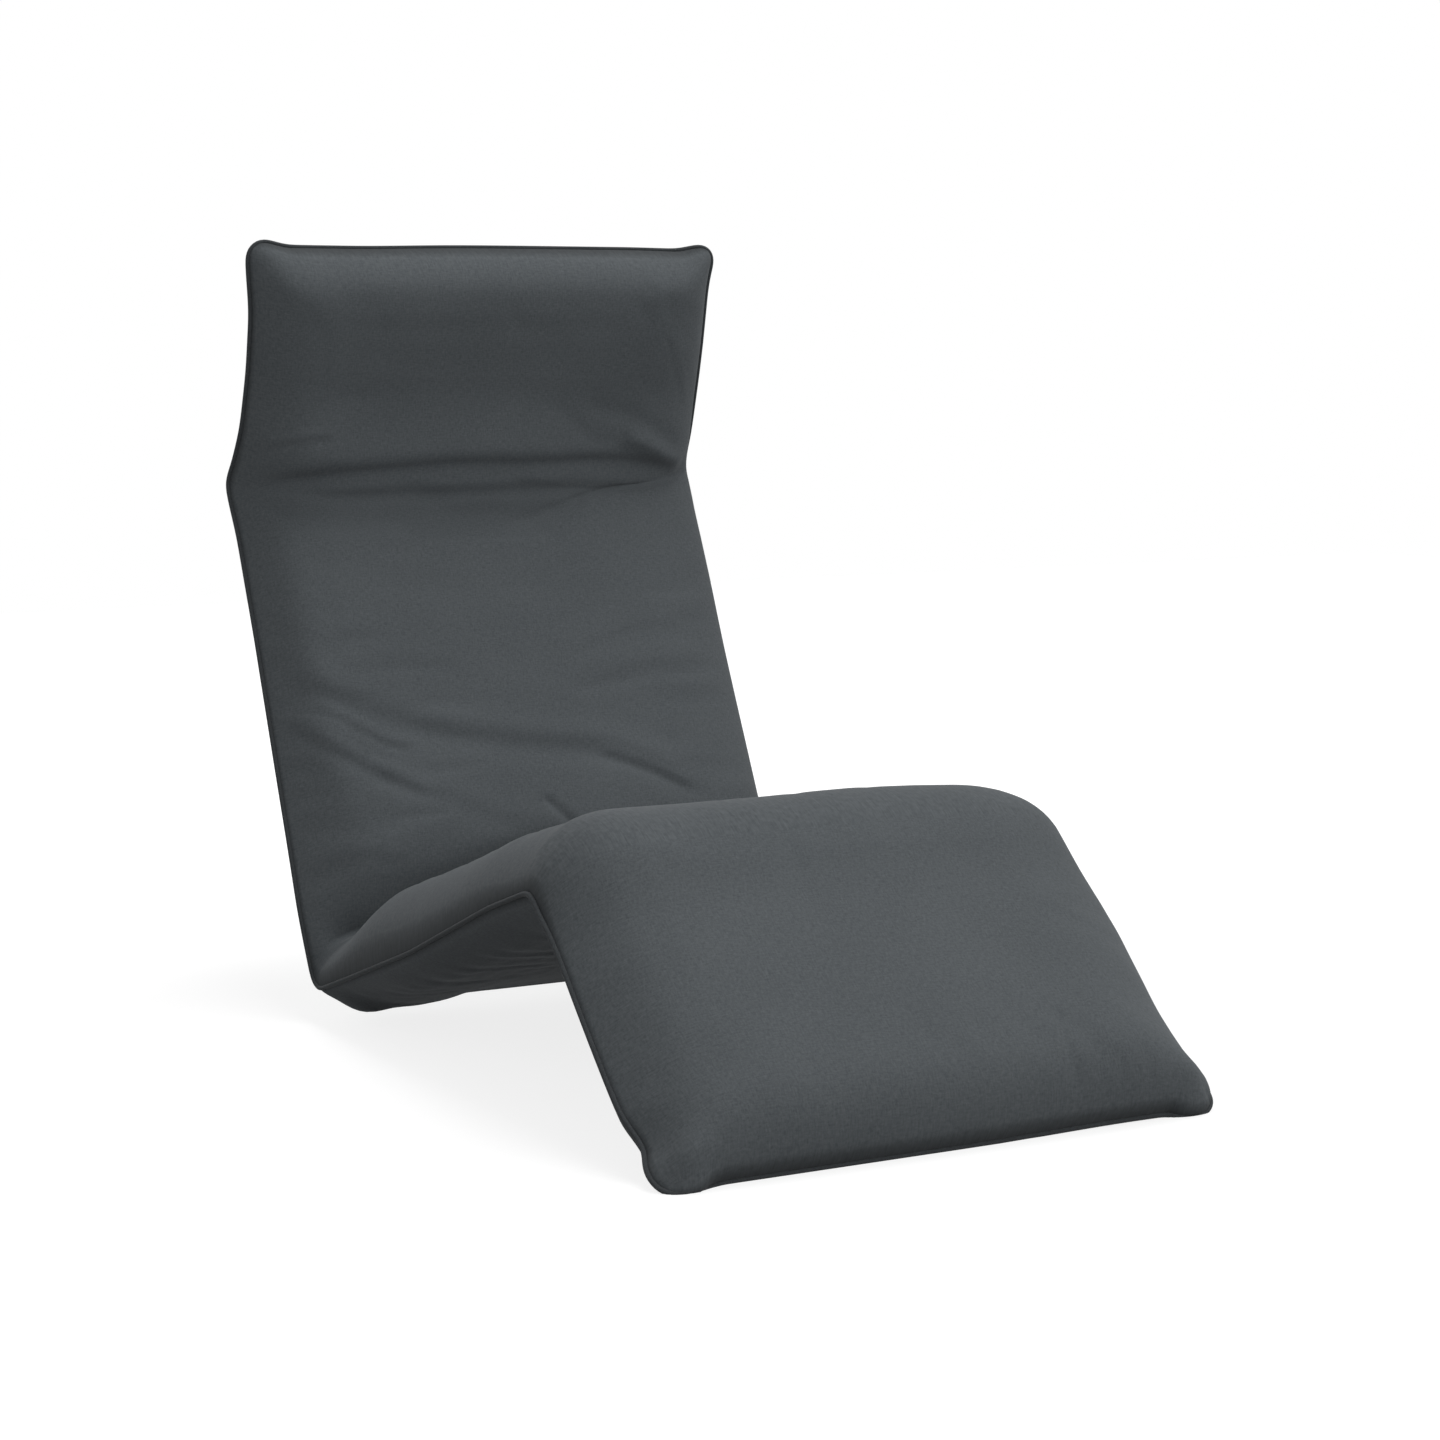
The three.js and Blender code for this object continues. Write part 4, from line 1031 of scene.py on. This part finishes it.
def foam_material():
    """Open foam: small cells under a soft cloud."""
    material, tree, bsdf = shader("foam")
    place = object_place(tree)
    inputs = {"Vector": place, "Scale": 900.0}
    cells = add(tree, "TexVoronoi", inputs, feature="SMOOTH_F1").outputs["Distance"]
    total = math_node(tree, "MULTIPLY", cells, noise(tree, place, 18.0, 3.0))
    colour = ramp(tree, total, [(0.1, (0.78, 0.72, 0.52)), (0.5, (0.62, 0.54, 0.34))])
    tree.links.new(colour, bsdf.inputs["Base Color"])
    bsdf.inputs["Roughness"].default_value = 1.0
    add_bump(tree, bsdf, cells, 0.4, 0.0008)
    return material


def sling_material():
    """Coarse black weave."""
    material, tree, bsdf = shader("sling_cloth")
    uv = add(tree, "UVMap", uv_map="cloth").outputs["UV"]
    inputs = {
        "Vector": uv,
        "Scale": 1.0,
        "Mortar Size": 0.00022,
        "Brick Width": 0.0024,
        "Row Height": 0.0012,
        "Color1": (0.030, 0.031, 0.033, 1),
        "Color2": (0.042, 0.043, 0.046, 1),
        "Mortar": (0.012, 0.012, 0.013, 1),
    }
    weave = add(tree, "TexBrick", inputs)
    tree.links.new(weave.outputs["Color"], bsdf.inputs["Base Color"])
    bsdf.inputs["Roughness"].default_value = 0.8
    add_bump(tree, bsdf, weave.outputs["Fac"], 0.4, 0.0003, invert=True)
    return material


def metal(name, dark, light, metallic, rough, scale, strength):
    """Steel with a cloudy finish: powder paint where metallic is low, bare or plated where it is high."""
    material, tree, bsdf = shader(name)
    place = object_place(tree)
    cloud = noise(tree, place, scale * 0.1, 4.0)
    fine = noise(tree, place, scale, 2.0)
    tree.links.new(ramp(tree, cloud, [(0.35, dark), (0.65, light)]), bsdf.inputs["Base Color"])
    roughness = add(tree, "MapRange", {"Value": cloud, "To Min": rough * 0.8, "To Max": rough * 1.25})
    tree.links.new(roughness.outputs["Result"], bsdf.inputs["Roughness"])
    bsdf.inputs["Metallic"].default_value = metallic
    add_bump(tree, bsdf, fine, strength, 0.0002)
    return material


cover_cloth = fabric("cover_cloth", (0.074, 0.083, 0.090), (0.118, 0.130, 0.138), THREADS)
# Painted shade: the piping is the cover's own cloth, painted about half as dark as the cover.
piping_cloth = fabric("piping_cloth", (0.040, 0.044, 0.047), (0.062, 0.068, 0.073), THREADS)
foam_look = foam_material()
sling_look = sling_material()
steels = {
    "_frame": metal("black_tube", (0.016, 0.016, 0.017), (0.024, 0.024, 0.026), 0.0, 0.42, 2400.0, 0.25),
    "_pawl_spring": metal("spring_steel", (0.20, 0.21, 0.23), (0.32, 0.33, 0.35), 1.0, 0.30, 1800.0, 0.1),
    "": metal("zinc_steel", (0.44, 0.46, 0.48), (0.60, 0.61, 0.62), 1.0, 0.36, 1500.0, 0.12),
}
SOFT_ENDINGS = ("_cover", "_foam", "_pad", "_sling", "_fold")
for node, held in nodes.items():
    if held.hide_render or node.endswith(SOFT_ENDINGS) or "piping" in node:
        continue
    look = next(steel for ending, steel in steels.items() if ending in node)
    for spot in held.material_slots:
        spot.link = "OBJECT"
        spot.material = look

for name, (section, piece) in foams.items():
    piece.data.materials.append(foam_look)
    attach(piece, section)
    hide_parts(f"{section}_{name.split('_')[0]}")
for section, (piece, flat) in slings.items():
    piece.data.materials.append(sling_look)
    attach(piece, SECTIONS[section])
    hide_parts(SECTIONS[section] + "_sling")
for name, piece in covers.items():
    piece.data.materials.append(cover_cloth)
for name, piece in pipings.items():
    piece.data.materials.append(piping_cloth)

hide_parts("head_cover", "neck_fold")
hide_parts("back_cover", "seat_cover", "hip_fold")
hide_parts("leg_cover", "knee_fold")
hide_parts("head_piping")
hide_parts("back_piping_left", "seat_piping_left")
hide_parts("back_piping_right", "seat_piping_right")
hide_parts("leg_piping")

for name, piece in covers.items():
    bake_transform(piece)
for name, (span, _) in cords.items():
    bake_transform(pipings[name])

# Floor, light and camera
FLOOR_HALF = 6
FLOOR_GLOW = {"From Min": 0.6, "From Max": 1.5, "To Min": 0.82, "To Max": 1.0}
WORLD_LIGHT = {"To Min": 0.19, "To Max": 1.0}


def seen_share(tree):
    """One for what is seen straight, mirrored or through glass, and nought for what only lights."""
    ray = add(tree, "LightPath").outputs
    seen = math_node(tree, "MAXIMUM", ray["Is Camera Ray"], ray["Is Glossy Ray"])
    return math_node(tree, "MAXIMUM", seen, ray["Is Transmission Ray"])


floor_corners = [(x * FLOOR_HALF, y * FLOOR_HALF, 0) for x, y in ((-1, -1), (1, -1), (1, 1), (-1, 1))]
floor = mesh_object("floor", floor_corners, [(0, 1, 2, 3)])
floor_material, tree, bsdf = shader("floor")
bsdf.inputs["Base Color"].default_value = (0.25, 0.25, 0.25, 1)
bsdf.inputs["Roughness"].default_value = 1
far = add(tree, "VectorMath", {0: object_place(tree)}, operation="LENGTH").outputs["Value"]
level = add(tree, "MapRange", {"Value": far, **FLOOR_GLOW}).outputs["Result"]
shown = math_node(tree, "MULTIPLY", level, seen_share(tree))
glow = add(tree, "Emission", {"Color": (1, 1, 1, 1), "Strength": shown})
both = add(tree, "AddShader", {0: bsdf.outputs["BSDF"], 1: glow.outputs["Emission"]})
tree.links.new(both.outputs["Shader"], tree.nodes["Material Output"].inputs["Surface"])
floor.data.materials.append(floor_material)

world = bpy.data.worlds.new("studio")
bpy.context.scene.world = world
world.use_nodes = True
tree = world.node_tree
strength = add(tree, "MapRange", {"Value": seen_share(tree), **WORLD_LIGHT})
background = tree.nodes["Background"]
background.inputs["Color"].default_value = (1, 1, 1, 1)
tree.links.new(strength.outputs["Result"], background.inputs["Strength"])


def aimed(name, data, place, way):
    """An object that looks along the way."""
    made = bpy.data.objects.new(name, data)
    bpy.context.scene.collection.objects.link(made)
    made.location = place
    made.rotation_mode = "QUATERNION"
    made.rotation_quaternion = way.to_track_quat("-Z", "Y")
    return made


# Lamps: name, place, the height they look at over the floor's middle, size and power
LAMPS = [
    ("above", (0.4, 0.2, 3.6), 0.3, 1.8, 49),
    ("front", (0.2, -3.2, 1.4), 0.3, 2.0, 35),
    ("right", (2.8, -1.0, 2.2), 0.3, 2.0, 20),
    ("left", (-2.6, -0.6, 1.8), 0.3, 2.0, 9),
    ("rear", (-0.8, 3.2, 1.2), 0.4, 2.0, 16),
]
for name, place, height, size, power in LAMPS:
    lamp = bpy.data.lights.new(name, "AREA")
    lamp.shape = "DISK"
    lamp.size = size
    lamp.energy = power
    aimed(name, lamp, place, Vector((0, 0, height)) - Vector(place))

# The camera stands where the photograph's did
AZIMUTH = math.radians(-27.957)
ELEVATION = math.radians(6.0)
ROLL = math.radians(-0.52)
TARGET = Vector((0, -0.0474, 0.3465))
DISTANCE = 2.994
camera_data = bpy.data.cameras.new("camera")
camera_data.sensor_width = 36
camera_data.lens = 76.46
camera_data.shift_x = 0.0217
camera_data.shift_y = -0.0145
camera_data.clip_end = 50
sideways = math.cos(ELEVATION)
back = Vector((math.sin(AZIMUTH) * sideways, -math.cos(AZIMUTH) * sideways, math.sin(ELEVATION)))
camera = aimed("camera", camera_data, TARGET + back * DISTANCE, -back)
camera.rotation_quaternion = camera.rotation_quaternion @ Quaternion((0, 0, 1), ROLL)
bpy.context.scene.camera = camera

bpy.context.scene.view_settings.view_transform = "Standard"
